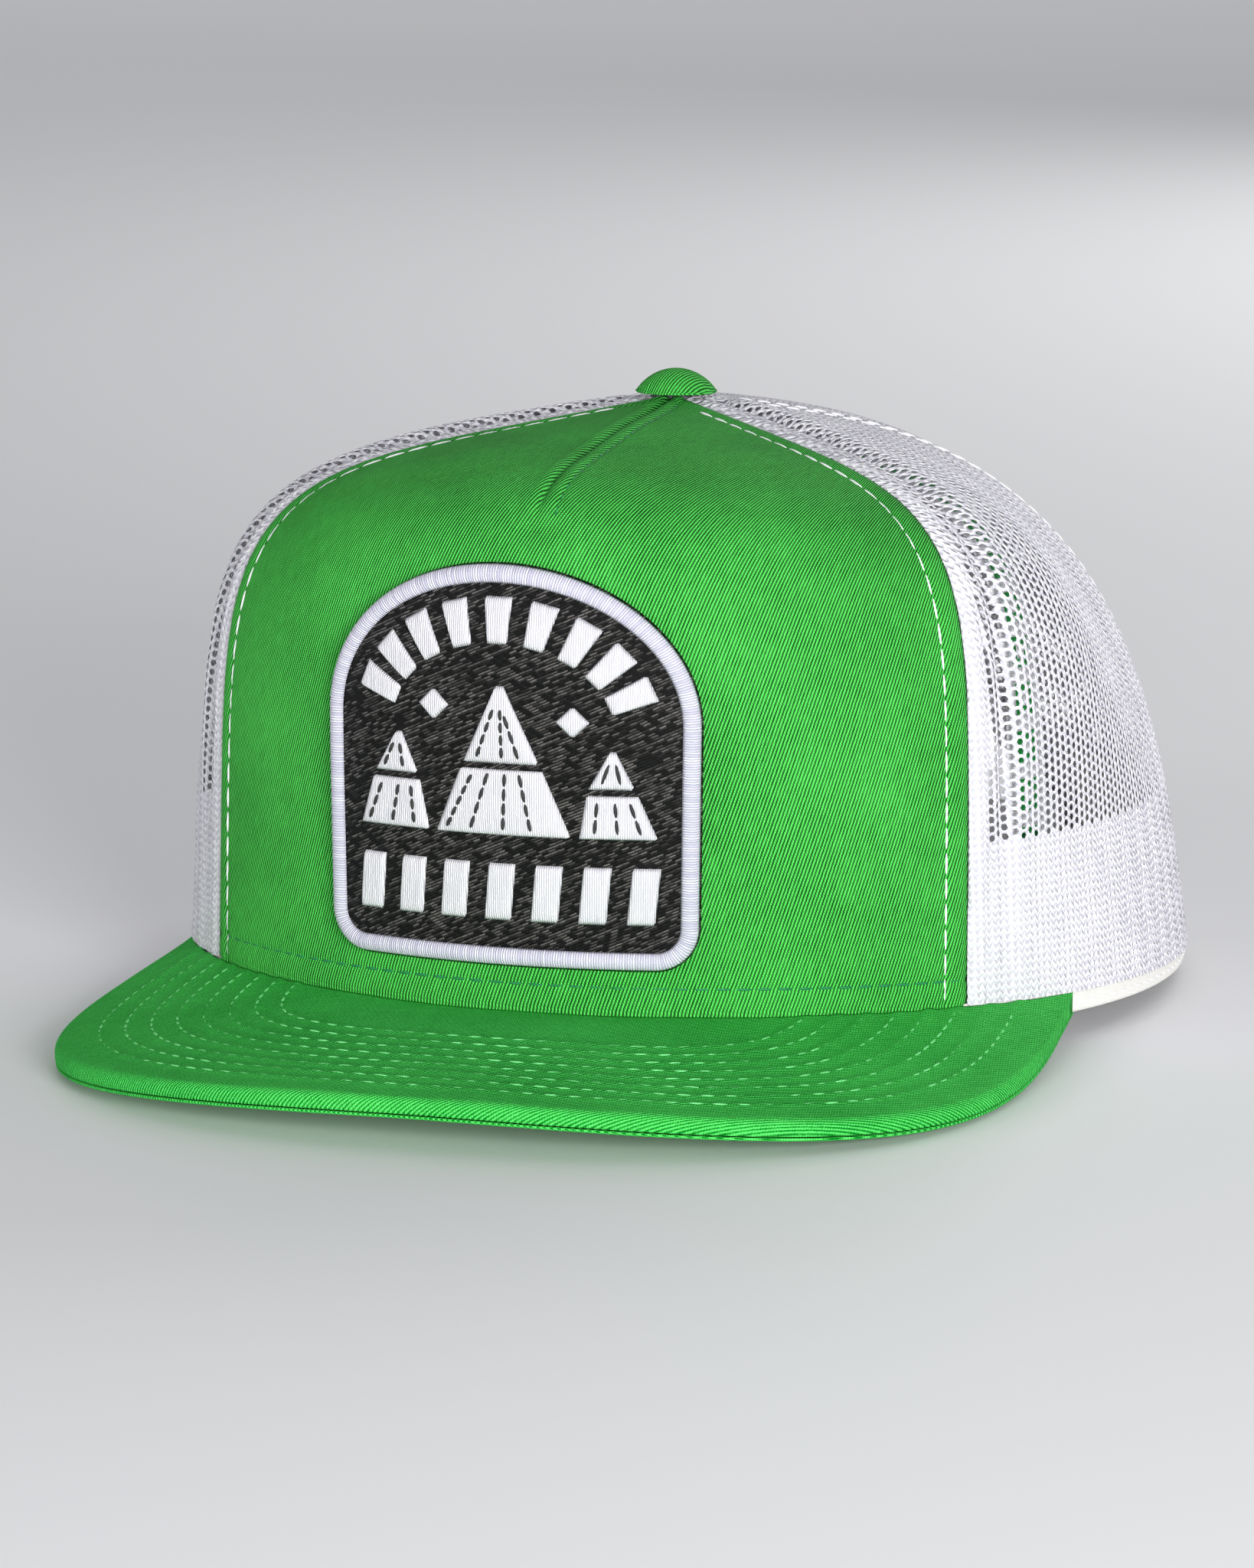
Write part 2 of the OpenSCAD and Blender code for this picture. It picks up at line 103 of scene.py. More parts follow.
def crown(phi, t):
    """A point on the crown: phi turns from the front towards +X, t climbs from the hem to the button."""
    phi, t = np.broadcast_arrays(np.asarray(phi, float), np.asarray(t, float))
    power = around(phi, 8, 6.2, 3.4, 2.45)
    slope = around(phi, 0.107, 0.155, 0.108, 0.038)
    lean = around(phi, -0.07, 0.01, 0.14, 0.038)
    c, s = np.cos(t * math.pi / 2), np.sin(t * math.pi / 2)
    d = (c ** power + s ** power) ** (1 / power)
    w, q = c / d, s / d
    out = w * (1 - lean * q)
    bx = HALF_W * np.sin(phi / DEG)
    by = FORWARD - HALF_L * np.cos(phi / DEG)
    z0 = hem_z(phi)
    z = z0 + q * (HEIGHT - z0 - slope * np.hypot(bx, by) * w)
    return np.stack([bx * out, by * out - FORWARD, z], -1)


def crown_normal(phi, t):
    t = np.asarray(t, float)
    turn = crown(phi + 0.3, t) - crown(phi - 0.3, t)
    climb = crown(phi, t + 0.003) - crown(phi, np.maximum(0, t - 0.003))
    n = np.cross(turn, climb)
    return n / np.linalg.norm(n, axis=-1, keepdims=True)


def off(phi, t, d):
    """A point d outside the crown's surface."""
    return crown(phi, t) + np.asarray(d, float)[..., None] * crown_normal(phi, t)


def t_at(phi, z):
    """The t at which the crown reaches height z, found by halving."""
    phi, z = np.broadcast_arrays(np.asarray(phi, float), np.asarray(z, float))
    lo, hi = np.zeros(phi.shape), np.full(phi.shape, 0.95)
    for _ in range(18):
        mid = (lo + hi) / 2
        below = crown(phi, mid)[..., 2] < z
        lo, hi = np.where(below, mid, lo), np.where(below, hi, mid)
    return (lo + hi) / 2


def beside(phi, t, mm):
    """The angle that lies mm beside phi at height t; near the button it closes up."""
    p = crown(phi, t)
    r = np.hypot(p[..., 0], p[..., 1] + FORWARD)
    return phi + mm * np.minimum(1, r / 60) / r * DEG


def base_point(phi):
    return np.stack([HALF_W * np.sin(phi / DEG), -HALF_L * np.cos(phi / DEG)], -1)


def resting(p):
    """The resting cap, in metres, from points in the cap's own frame."""
    p = np.asarray(p, float)
    c, s = math.cos(TIP), math.sin(TIP)
    x, y, z = p[..., 0], p[..., 1], p[..., 2]
    return np.stack([x, y * c + z * s, z * c - y * s + LIFT], -1) * MM


arch_steps = np.linspace(180 - ARCH_ANGLE, 180, 120)
arch_side = np.clip((180 - arch_steps) / ARCH_ANGLE, 0, 1)
arch_t = t_at(arch_steps, HEM_GAP + ARCH_H * np.sqrt(1 - arch_side ** 2))
arch_t[0] = 0


def low_t(phi):
    """Where the panels start: at the hem, or at the arched opening's edge."""
    return np.where(np.abs(phi) < 180 - ARCH_ANGLE, 0, np.interp(np.abs(phi), arch_steps, arch_t))


REACH, STEP = 110, 0.25   # how far a panel's table reaches to each side, and its step, in mm


class Panel:
    """A crown panel laid out flat: s runs across it from its middle line, h up it from the hem, in mm."""

    def __init__(self, middle, first, last):
        self.middle, self.first, self.last = middle, first, last
        self.t = np.linspace(0, T_TOP, 260)
        self.turn = np.linspace(first - 12, last + 12, 121)
        p = crown(self.turn[None, :], self.t[:, None])
        arc = np.zeros(p.shape[:2])
        arc[:, 1:] = np.cumsum(np.linalg.norm(np.diff(p, axis=1), axis=2), axis=1)
        self.arc = np.array([row - np.interp(middle, self.turn, row) for row in arc])
        self.climb = run_lengths(crown(middle, self.t))
        run = np.arange(-REACH, REACH + STEP, STEP)
        self.angle = np.array([np.interp(run, row, self.turn) for row in self.arc])
        self.low_s = np.array([np.interp(first, self.turn, row) for row in self.arc])
        self.high_s = np.array([np.interp(last, self.turn, row) for row in self.arc])

    def _between(self, table, t, column):
        i = np.clip(t / T_TOP * (len(self.t) - 1), 0, len(self.t) - 1.001)
        j = np.clip(column, 0, table.shape[1] - 1.001)
        i0, j0 = i.astype(int), j.astype(int)
        fi, fj = i - i0, j - j0
        low = table[i0, j0] * (1 - fj) + table[i0, j0 + 1] * fj
        high = table[i0 + 1, j0] * (1 - fj) + table[i0 + 1, j0 + 1] * fj
        return low * (1 - fi) + high * fi

    def locate(self, s, h):
        """Angle and height on the crown; what lies past the panel's edges is brought back to them."""
        t = np.interp(h, self.climb, self.t)
        for _ in range(5):
            phi = self._between(self.angle, t, (s + REACH) / STEP)
            phi = np.clip(phi, self.first, self.last)
            t = np.maximum(t, low_t(phi))
        return phi, t

    def flat(self, phi, t):
        step = self.turn[1] - self.turn[0]
        return self._between(self.arc, t, (phi - self.turn[0]) / step), np.interp(t, self.t, self.climb)

    def margins(self, s, t):
        """How far s lies from the panel's first and last edges."""
        return s - np.interp(t, self.t, self.low_s), np.interp(t, self.t, self.high_s) - s


# ---- making pieces ----

def points_of(mesh):
    co = np.empty(len(mesh.vertices) * 3)
    mesh.vertices.foreach_get("co", co)
    return co.reshape(-1, 3)


def mesh_from(bm, name):
    mesh = bpy.data.meshes.new(name)
    bm.to_mesh(mesh)
    bm.free()
    return mesh


def put(mesh, points):
    """Move the mesh's corners to points given in the cap's own frame."""
    mesh.vertices.foreach_set("co", np.ascontiguousarray(resting(points)).ravel())


def lay_weave(mesh, across):
    """Store each corner's place in the flat cloth, in mm, as the UV map that the weaves read."""
    index = np.empty(len(mesh.loops), int)
    mesh.loops.foreach_get("vertex_index", index)
    layer = mesh.uv_layers.new(name="UVMap")
    layer.data.foreach_set("uv", np.ascontiguousarray(across[index], dtype=np.float32).ravel())


def hand_over(mesh, name, finish, node=None, slot=None, thickness=0):
    """Make the finished mesh a piece of the crown's body."""
    mesh.materials.append(finish)
    mesh.polygons.foreach_set("use_smooth", np.full(len(mesh.polygons), True))
    mesh.update()
    piece = bpy.data.objects.new(name, mesh)
    bpy.context.collection.objects.link(piece)
    if thickness:
        wall = piece.modifiers.new("wall", "SOLIDIFY")
        wall.thickness = thickness * MM
        wall.offset = -1
    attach(piece, "crown")
    if node:
        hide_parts(node)


def grid(columns, rows):
    """A flat square from 0 to 1 both ways."""
    bm = bmesh.new()
    bmesh.ops.create_grid(bm, x_segments=columns, y_segments=rows, size=0.5)
    bmesh.ops.translate(bm, verts=bm.verts, vec=(0.5, 0.5, 0))
    return bm


def cloth(name, columns, rows, place, finish, closed=False, **facts):
    """A piece shaped from a flat grid; place(u, v) gives points in the cap's frame and the flat cloth's."""
    mesh = mesh_from(grid(columns, rows), name)
    u, v, _ = points_of(mesh).T
    points, across = place(u, v)
    lay_weave(mesh, across)
    put(mesh, points)
    if closed:
        bm = bmesh.new()
        bm.from_mesh(mesh)
        bmesh.ops.remove_doubles(bm, verts=bm.verts, dist=0.02 * MM)
        bm.to_mesh(mesh)
        bm.free()
    hand_over(mesh, name, finish, **facts)


def sewn(name, lines, finish, slot, length=2.9, gap=0.8, wide=0.5, proud=0.3):
    """Rows of stitches; each line is a run of points with the cloth's outward directions."""
    bm = bmesh.new()
    for points, normals in lines:
        points = resting(points) / MM
        arc = run_lengths(points)

        def at(way, values):
            return np.array([np.interp(way, arc, values[:, i]) for i in range(3)])
        count = int(arc[-1] / (length + gap))
        for k in range(count):
            pitch = arc[-1] / count
            a, b = at(k * pitch + gap / 2, points), at((k + 1) * pitch - gap / 2, points)
            up = Vector(at((k + 0.5) * pitch, normals))
            along = Vector(b - a)
            side = up.cross(along).normalized()
            up = along.cross(side).normalized()
            turn = Matrix((side * wide / 2, up * proud, along / 2)).transposed().to_4x4()
            place = Matrix.Translation(Vector((a + b) / 2) * MM) @ turn @ Matrix.Scale(MM, 4)
            bmesh.ops.create_uvsphere(bm, u_segments=6, v_segments=5, radius=1, matrix=place)
    bmesh.ops.recalc_face_normals(bm, faces=bm.faces)
    hand_over(mesh_from(bm, name), name, finish, slot=slot)


# ---- shader groups ----

class Nodes:
    """Short ways to add and join nodes in one tree."""

    def __init__(self, tree):
        self.tree = tree

    def add(self, kind, **values):
        node = self.tree.nodes.new(kind)
        for key, value in values.items():
            setattr(node, key, value)
        return node

    def join(self, a, b):
        self.tree.links.new(a, b)

    def _feed(self, socket, value):
        if isinstance(value, bpy.types.NodeSocket):
            self.join(value, socket)
        else:
            socket.default_value = value

    def math(self, operation, a, b=0.0, c=0.0):
        node = self.add("ShaderNodeMath", operation=operation)
        for socket, value in zip(node.inputs, (a, b, c)):
            self._feed(socket, value)
        return node.outputs[0]

    def times(self, a, b):
        return self.math("MULTIPLY", a, b)

    def plus(self, a, b):
        return self.math("ADD", a, b)

    def over(self, a, b):
        return self.math("DIVIDE", a, b)

    def sway(self, value, amount):
        """A value from 0 to 1 as a change of that amount, both ways."""
        return self.times(self.math("SUBTRACT", value, 0.5), amount)

    def wave(self, turns, low=0.0):
        """A sine between low and 1, once for each whole turn."""
        return self.span(self.math("SINE", self.times(turns, math.tau)), -1.0, 1.0, low, 1.0)

    def span(self, value, low, high, to_low=0.0, to_high=1.0):
        node = self.add("ShaderNodeMapRange")
        for socket, part in zip(node.inputs, (value, low, high, to_low, to_high)):
            self._feed(socket, part)
        return node.outputs[0]

    def noise(self, vector, scale, detail=2.0, roughness=0.5):
        node = self.add("ShaderNodeTexNoise")
        self._feed(node.inputs["Vector"], vector)
        self._feed(node.inputs["Scale"], scale)
        node.inputs["Detail"].default_value = detail
        node.inputs["Roughness"].default_value = roughness
        return node.outputs["Fac"]

    def blend(self, factor, a, b):
        node = self.add("ShaderNodeMix", data_type="RGBA")
        self._feed(node.inputs["Factor"], factor)
        self._feed(node.inputs["A"], a)
        self._feed(node.inputs["B"], b)
        return node.outputs["Result"]

    def xyz(self, vector):
        node = self.add("ShaderNodeSeparateXYZ")
        self.join(vector, node.inputs[0])
        return node.outputs


def new_group(name, *outputs, **values):
    """A shader group that takes a place in mm and these values, and gives the named outputs."""
    tree = bpy.data.node_groups.new(name, "ShaderNodeTree")
    tree.interface.new_socket(name="Place", in_out="INPUT", socket_type="NodeSocketVector")
    for label, value in values.items():
        socket = tree.interface.new_socket(name=label, in_out="INPUT", socket_type="NodeSocketFloat")
        socket.default_value = value
    for label in outputs:
        tree.interface.new_socket(name=label, in_out="OUTPUT", socket_type="NodeSocketFloat")
    n = Nodes(tree)
    given = n.add("NodeGroupInput").outputs
    return n, given, n.add("NodeGroupOutput").inputs, n.xyz(given["Place"])


def make_twill_group():
    """Slanted ribs of a twill, with the crossing yarn and uneven threads."""
    n, given, out, _ = new_group("twill ribs", "Height", "Slub", Pitch=0.6, Turn=0.35, Yarn=0.5)
    turned = n.add("ShaderNodeVectorRotate", rotation_type="Z_AXIS")
    n.join(given["Place"], turned.inputs["Vector"])
    n.join(given["Turn"], turned.inputs["Angle"])
    x, y, _ = n.xyz(turned.outputs[0])
    wobble = n.times(n.noise(given["Place"], 1.1, 3.0), 1.3)
    rib = n.math("SINE", n.plus(n.times(n.over(x, given["Pitch"]), math.tau), wobble))
    bead = n.wave(n.over(n.plus(y, n.times(x, 0.5)), given["Yarn"]), 0.55)
    n.join(n.times(n.span(rib, -1.0, 1.0), bead), out["Height"])
    streak = n.add("ShaderNodeMapping")
    streak.inputs["Scale"].default_value = (2.2, 0.25, 1.0)
    n.join(turned.outputs[0], streak.inputs["Vector"])
    n.join(n.noise(streak.outputs[0], 1.0, 3.0, 0.7), out["Slub"])
    return n.tree


def make_knit_group():
    """Zigzag loops of a warp knit."""
    n, given, out, (x, y, _) = new_group("knit loops", "Height", "Shade", Pitch=0.9)
    across, up = n.over(x, given["Pitch"]), n.over(y, given["Pitch"])
    loop = n.wave(n.plus(up, n.times(n.math("PINGPONG", across, 0.5), 1.1)))
    column = n.span(n.math("COSINE", n.times(across, math.tau)), -1.0, 1.0)
    height = n.plus(n.times(loop, 0.7), n.times(column, 0.3))
    n.join(n.plus(height, n.times(n.noise(given["Place"], 3.5, 4.0, 0.7), 0.45)), out["Height"])
    n.join(n.noise(given["Place"], 0.12, 3.0, 0.6), out["Shade"])
    return n.tree


def make_weave_group():
    """Plain weave: over and under both ways."""
    n, given, out, (x, y, _) = new_group("plain weave", "Height", "Slub", Pitch=0.6)
    a, b = (n.math("SINE", n.times(n.over(way, given["Pitch"]), math.pi)) for way in (x, y))
    over = n.math("ABSOLUTE", n.times(a, b))
    n.join(n.plus(over, n.times(n.noise(given["Place"], 2.5, 3.0, 0.7), 0.35)), out["Height"])
    n.join(n.noise(given["Place"], 0.3, 4.0, 0.65), out["Slub"])
    return n.tree


def make_satin_group():
    """Threads laid side by side, each stitch a little different."""
    n, given, out, (x, y, _) = new_group("laid threads", "Height", "Glint", Pitch=0.4, Reach=4.0)
    lane = n.over(n.plus(x, n.times(n.noise(given["Place"], 0.9, 2.0), 0.25)), given["Pitch"])
    number = n.math("FLOOR", lane)
    start = n.times(n.math("MODULO", n.math("ABSOLUTE", number), 4.0), 0.27)
    stitch = n.plus(n.over(y, given["Reach"]), start)
    along = n.math("FRACT", stitch)
    ends = n.times(n.math("SMOOTH_MIN", along, n.math("SUBTRACT", 1.0, along), 0.1), 6.0)
    ends = n.span(n.math("MINIMUM", ends, 1.0), 0.0, 1.0, 0.35, 1.0)
    n.join(n.times(n.wave(lane), ends), out["Height"])
    lot = n.add("ShaderNodeCombineXYZ")
    n.join(number, lot.inputs[0])
    n.join(n.math("FLOOR", stitch), lot.inputs[1])
    lottery = n.add("ShaderNodeTexWhiteNoise", noise_dimensions="2D")
    n.join(lot.outputs[0], lottery.inputs["Vector"])
    n.join(lottery.outputs["Value"], out["Glint"])
    return n.tree


def make_fuzz_group():
    """Fibre ends and soiling that every cloth has; the twills also paint glints from the fibre ends into
    their colour.
    """
    n, given, out, _ = new_group("fuzz", "Height", "Tone")
    n.join(n.noise(given["Place"], 2.6, 6.0, 0.75), out["Height"])
    n.join(n.noise(given["Place"], 0.035, 4.0, 0.6), out["Tone"])
    return n.tree


TWILL, KNIT, WEAVE = make_twill_group(), make_knit_group(), make_weave_group()
SATIN, FUZZ = make_satin_group(), make_fuzz_group()


def start_material(name, roughness, sheen=0.0, flat_cloth=True, gloss=0.25):
    """A material, its nodes, its shader and the place on the surface in mm."""
    finish = bpy.data.materials.new(name)
    finish.use_nodes = True
    n = Nodes(finish.node_tree)
    shader = finish.node_tree.nodes["Principled BSDF"]
    shader.inputs["Roughness"].default_value = roughness
    shader.inputs["Specular IOR Level"].default_value = gloss
    if sheen:
        shader.inputs["Sheen Weight"].default_value = sheen
        shader.inputs["Sheen Roughness"].default_value = 0.45
    if flat_cloth:
        place = n.add("ShaderNodeUVMap", uv_map="UVMap").outputs[0]
    else:
        mapping = n.add("ShaderNodeMapping")
        mapping.inputs["Scale"].default_value = (1 / MM, 1 / MM, 1 / MM)
        n.join(n.add("ShaderNodeTexCoord").outputs["Object"], mapping.inputs["Vector"])
        place = mapping.outputs[0]
    return finish, n, shader, place


def use_group(n, tree, place, **values):
    node = n.add("ShaderNodeGroup", node_tree=tree)
    n.join(place, node.inputs["Place"])
    for key, value in values.items():
        node.inputs[key].default_value = value
    return node.outputs


def emboss(n, shader, height, distance, strength=1.0):
    bump = n.add("ShaderNodeBump")
    bump.inputs["Strength"].default_value = strength
    bump.inputs["Distance"].default_value = distance * MM
    n.join(height, bump.inputs["Height"])
    n.join(bump.outputs[0], shader.inputs["Normal"])


def twill_finish(name, dark, light, pitch, turn, rib_shading, depth, gloss, grain):
    finish, n, shader, place = start_material(name, 0.78, gloss=gloss)
    ribs = use_group(n, TWILL, place, Pitch=pitch, Turn=turn, Yarn=0.5)
    fuzz = use_group(n, FUZZ, place)
    # Base colour: the rib height paints rib tops lighter as a painted highlight and rib valleys darker as
    # painted shade; the slubs and the soiling are random tone.
    level = n.plus(n.times(ribs["Height"], rib_shading), n.sway(ribs["Slub"], 0.55))
    # The fine fuzz noise, scaled by grain, paints fibre glints into the colour as painted highlights,
    # strongest on the visor.
    level = n.plus(n.plus(level, n.sway(fuzz["Tone"], 0.35)), n.sway(fuzz["Height"], grain))
    n.join(n.blend(level, dark, light), shader.inputs["Base Color"])
    n.join(n.span(ribs["Height"], 0.0, 1.0, 0.88, 0.68), shader.inputs["Roughness"])
    emboss(n, shader, n.plus(ribs["Height"], n.times(fuzz["Height"], 0.5)), depth, 0.8)
    return finish


def cloth_finish(name, dark, light, tree, pitch, depth=0.15, sheen=0.2, shade="Slub"):
    finish, n, shader, place = start_material(name, 0.85, sheen)
    weave = use_group(n, tree, place, Pitch=pitch)
    fuzz = use_group(n, FUZZ, place)
    # Base colour: the yarn's height paints the hollows darker as painted shade; the Slub output adds random
    # thread tone, and the knit's Shade output adds slow patches of painted shade.
    level = n.plus(n.times(weave["Height"], 0.6), n.times(weave[shade], 0.35))
    level = n.plus(level, n.sway(fuzz["Tone"], 0.3))
    n.join(n.blend(level, dark, light), shader.inputs["Base Color"])
    emboss(n, shader, n.plus(weave["Height"], n.times(fuzz["Height"], 0.3)), depth, 0.8)
    return finish


def satin_finish(name, dark, light, pitch, reach, turn=0.0, depth=0.15, dull=0.45):
    finish, n, shader, place = start_material(name, 0.5)
    turned = n.add("ShaderNodeVectorRotate", rotation_type="Z_AXIS")
    n.join(place, turned.inputs["Vector"])
    turned.inputs["Angle"].default_value = turn
    laid = use_group(n, SATIN, turned.outputs[0], Pitch=pitch, Reach=reach)
    # Base colour: each laid thread is painted darker towards its edges as painted shade, and each stitch
    # gets a random painted glint from the Glint output; dull sets how dark the stitches without a glint
    # are.
    level = n.times(laid["Height"], n.span(laid["Glint"], 0.0, 1.0, dull, 1.0))
    n.join(n.blend(level, dark, light), shader.inputs["Base Color"])
    n.join(n.span(laid["Glint"], 0.0, 1.0, 0.6, 0.38), shader.inputs["Roughness"])
    emboss(n, shader, laid["Height"], depth, 0.9)
    return finish


def thread_finish(name, dark, light):
    finish, n, shader, place = start_material(name, 0.6, flat_cloth=False)
    twist = n.noise(place, 1.6, 3.0, 0.6)
    n.join(n.blend(twist, dark, light), shader.inputs["Base Color"])
    emboss(n, shader, twist, 0.1, 0.6)
    return finish


def hard_finish(name, dark, light, roughness, grain=0.4, depth=0.02, metal=0.0, clear=0.0):
    finish, n, shader, place = start_material(name, roughness, flat_cloth=False)
    shader.inputs["Specular IOR Level"].default_value = 0.5
    shader.inputs["Metallic"].default_value = metal
    cloud, fine = n.noise(place, 0.06, 4.0), n.noise(place, grain, 5.0, 0.7)
    n.join(n.blend(cloud, dark, light), shader.inputs["Base Color"])
    n.join(n.span(fine, 0.2, 0.8, roughness - 0.08, roughness + 0.12), shader.inputs["Roughness"])
    if clear:
        shader.inputs["Subsurface Weight"].default_value = clear
        shader.inputs["Subsurface Radius"].default_value = (0.002, 0.002, 0.002)
    emboss(n, shader, fine, depth, 0.5)
    return finish


def printed_finish():
    """White tape with a plain row of green marks along it."""
    finish, n, shader, place = start_material("printed tape", 0.8, 0.15)
    weave = use_group(n, WEAVE, place, Pitch=0.55)
    x, y, _ = n.xyz(place)
    across, repeat = n.math("ABSOLUTE", x), n.math("PINGPONG", y, 4.4)
    outer, hollow = (n.times(n.math("LESS_THAN", repeat, tall), n.math("LESS_THAN", across, wide))
                     for tall, wide in ((2.9, 2.6), (1.3, 1.1)))
    mark = n.math("SUBTRACT", outer, hollow)
    # The weave's height paints its hollows darker as painted shade; the green marks are print.
    cloth_tone = n.blend(weave["Height"], (0.62, 0.62, 0.66, 1), (0.9, 0.9, 0.92, 1))
    n.join(n.blend(mark, cloth_tone, (0.01, 0.3, 0.05, 1)), shader.inputs["Base Color"])
    emboss(n, shader, weave["Height"], 0.12, 0.7)
    return finish


green = twill_finish("green twill", (0.0, 0.05, 0.002, 1), (0.12, 0.81, 0.13, 1), pitch=0.62,
                     turn=0.345, rib_shading=1.05, depth=0.25, gloss=0.08, grain=0.2)
visor_green = twill_finish("visor twill", (0.0, 0.17, 0.012, 1), (0.13, 0.9, 0.17, 1), pitch=0.6,
                           turn=0.9, rib_shading=0.85, depth=0.16, gloss=0.05, grain=1.5)
buckram = cloth_finish("buckram", (0.45, 0.45, 0.43, 1), (0.85, 0.85, 0.82, 1), WEAVE, 0.9)
# The white knit's lavender dark tone is its painted shade colour, for its hollows and its shade patches.
knit_white = cloth_finish("white knit", (0.46, 0.44, 0.54, 1), (0.93, 0.93, 0.95, 1), KNIT, 1.5, 0.5,
                          sheen=0, shade="Shade")
cream = cloth_finish("cream cotton", (0.68, 0.66, 0.61, 1), (0.93, 0.92, 0.88, 1), WEAVE, 0.55)
tape_white = cloth_finish("white tape", (0.62, 0.61, 0.66, 1), (0.93, 0.93, 0.94, 1), WEAVE, 0.6)
printed = printed_finish()
# The black fill's light grey is the colour of its painted glints.
black_fill = satin_finish("black fill stitch", (0.001, 0.001, 0.001, 1), (0.15, 0.14, 0.135, 1), 0.5, 1.3,
                          turn=1.15, depth=0.2, dull=-0.6)
white_satin = satin_finish("white satin stitch", (0.38, 0.37, 0.48, 1), (0.88, 0.87, 0.93, 1), 0.45, 30.0)
white_fill = satin_finish("white fill stitch", (0.5, 0.49, 0.54, 1), (0.94, 0.94, 0.95, 1), 0.4, 3.6)
green_thread = thread_finish("green thread", (0.05, 0.5, 0.1, 1), (0.3, 0.9, 0.36, 1))
seam_thread = thread_finish("dark green thread", (0.0, 0.09, 0.03, 1), (0.03, 0.3, 0.1, 1))
white_thread = thread_finish("white thread", (0.72, 0.72, 0.76, 1), (0.95, 0.95, 0.96, 1))
black_thread = thread_finish("black thread", (0.004, 0.004, 0.004, 1), (0.05, 0.05, 0.05, 1))
strap_plastic = hard_finish("moulded strap", (0.78, 0.78, 0.78, 1), (0.9, 0.9, 0.91, 1), 0.38,
                            depth=0.05, clear=0.25)
board_plastic = hard_finish("visor board", (0.03, 0.03, 0.03, 1), (0.08, 0.08, 0.08, 1), 0.6)
metal = hard_finish("button metal", (0.5, 0.5, 0.52, 1), (0.75, 0.75, 0.77, 1), 0.35, 1.2, metal=1.0)


# ---- front panel ----

front = Panel(0.0, -FRONT_SEAM + 0.05, FRONT_SEAM - 0.05)
TURN_UP = 5.0        # the topstitched hem of the front panel, in mm
SEAM_STITCH = 5.0    # the white stitches beside the front seams
DART_STITCH = 3.4    # the green stitches beside the dart
dart_h = float(np.interp(t_at(0.0, 93.0), front.t, front.climb))


def front_relief(s, h, t):
    """Seams, the dart and slow waves, in mm."""
    a, b = front.margins(s, t)
    edge = np.minimum(a, b)
    d = 0.16 * near(edge, 3.0, 1.5) - 0.6 * near(edge, 0, 0.9) - 0.4 * near(h, 0, 0.8)
    d -= 0.22 * near(edge, SEAM_STITCH, 0.6) * (1 + 0.4 * np.sin(h * math.tau / 4.4))
    d -= 0.22 * near(h, TURN_UP, 0.6) * (1 + 0.4 * np.sin(s * math.tau / 3.6))
    grown = smooth_step(h, dart_h - 1, dart_h + 9)
    dart = 0.28 * near(np.abs(s), 2.0, 1.1) - 0.75 * near(s, 0, 0.6) - 0.25 * near(s, DART_STITCH, 0.5)
    d += grown * dart
    d -= 0.55 * near(s, 0, 4.5) * near(h, dart_h - 1, 4.0)
    clear = smooth_step(edge, 3, 14) * smooth_step(h, 4, 12) * smooth_step(h, 84, 88)
    return d + 0.22 * clear * np.sin(s / 9.0 + 1.3) * np.sin(h / 7.0)


# columns across the panel, close together beside the seams and at the dart: the distance from the seam,
# and the share of what is left; rows up it, close together at the hem
SIDE_ZONE = 12.0
edge_run = np.linspace(0, SIDE_ZONE, 25)[:-1]
inner_run = np.linspace(-1, 1, 161)
from_seam = np.concatenate([edge_run, np.full(len(inner_run), SIDE_ZONE), edge_run[::-1]])
share = np.concatenate([-np.ones(len(edge_run)), 0.6 * inner_run ** 3 + 0.4 * inner_run,
                        np.ones(len(edge_run))])
front_rows = np.concatenate([np.linspace(0, 8, 17), np.linspace(8, front.climb[-1], 130)[1:]])


def pick(part, table):
    """The rows of a table that run evenly from part 0 to part 1."""
    return table[np.rint(part * (len(table) - 1)).astype(int)]


def place_front(depth):
    def place(u, v):
        h = pick(v, front_rows)
        half = np.interp(np.interp(h, front.climb, front.t), front.t, front.high_s)
        shrink = np.minimum(1, half / 36)
        phi, t = front.locate(pick(u, share) * (half - shrink * pick(u, from_seam)), h)
        s, h = front.flat(phi, t)
        p = off(phi, t, front_relief(s, h, t) - depth)
        p[:, 2] -= 1.2 * (1 - smooth_step(h, 0, 0.9))
        return p, np.stack([s, h], -1)
    return place


cloth("front_twill", len(share) - 1, len(front_rows) - 1, place_front(0), green, node="front_panel",
      slot="green_twill", thickness=0.45)
cloth("front_buckram", 80, 60, place_front(1.15), buckram,
      node="front_backing", slot="buckram", thickness=0.5)


# ---- knitted panels ----

HOLE_ACROSS, HOLE_UP = 1.85, 1.75   # spacing of the knit's holes
YARN_ACROSS, YARN_UP = 0.46, 0.31   # yarn left on each side of a hole
SQUASH = YARN_UP / YARN_ACROSS


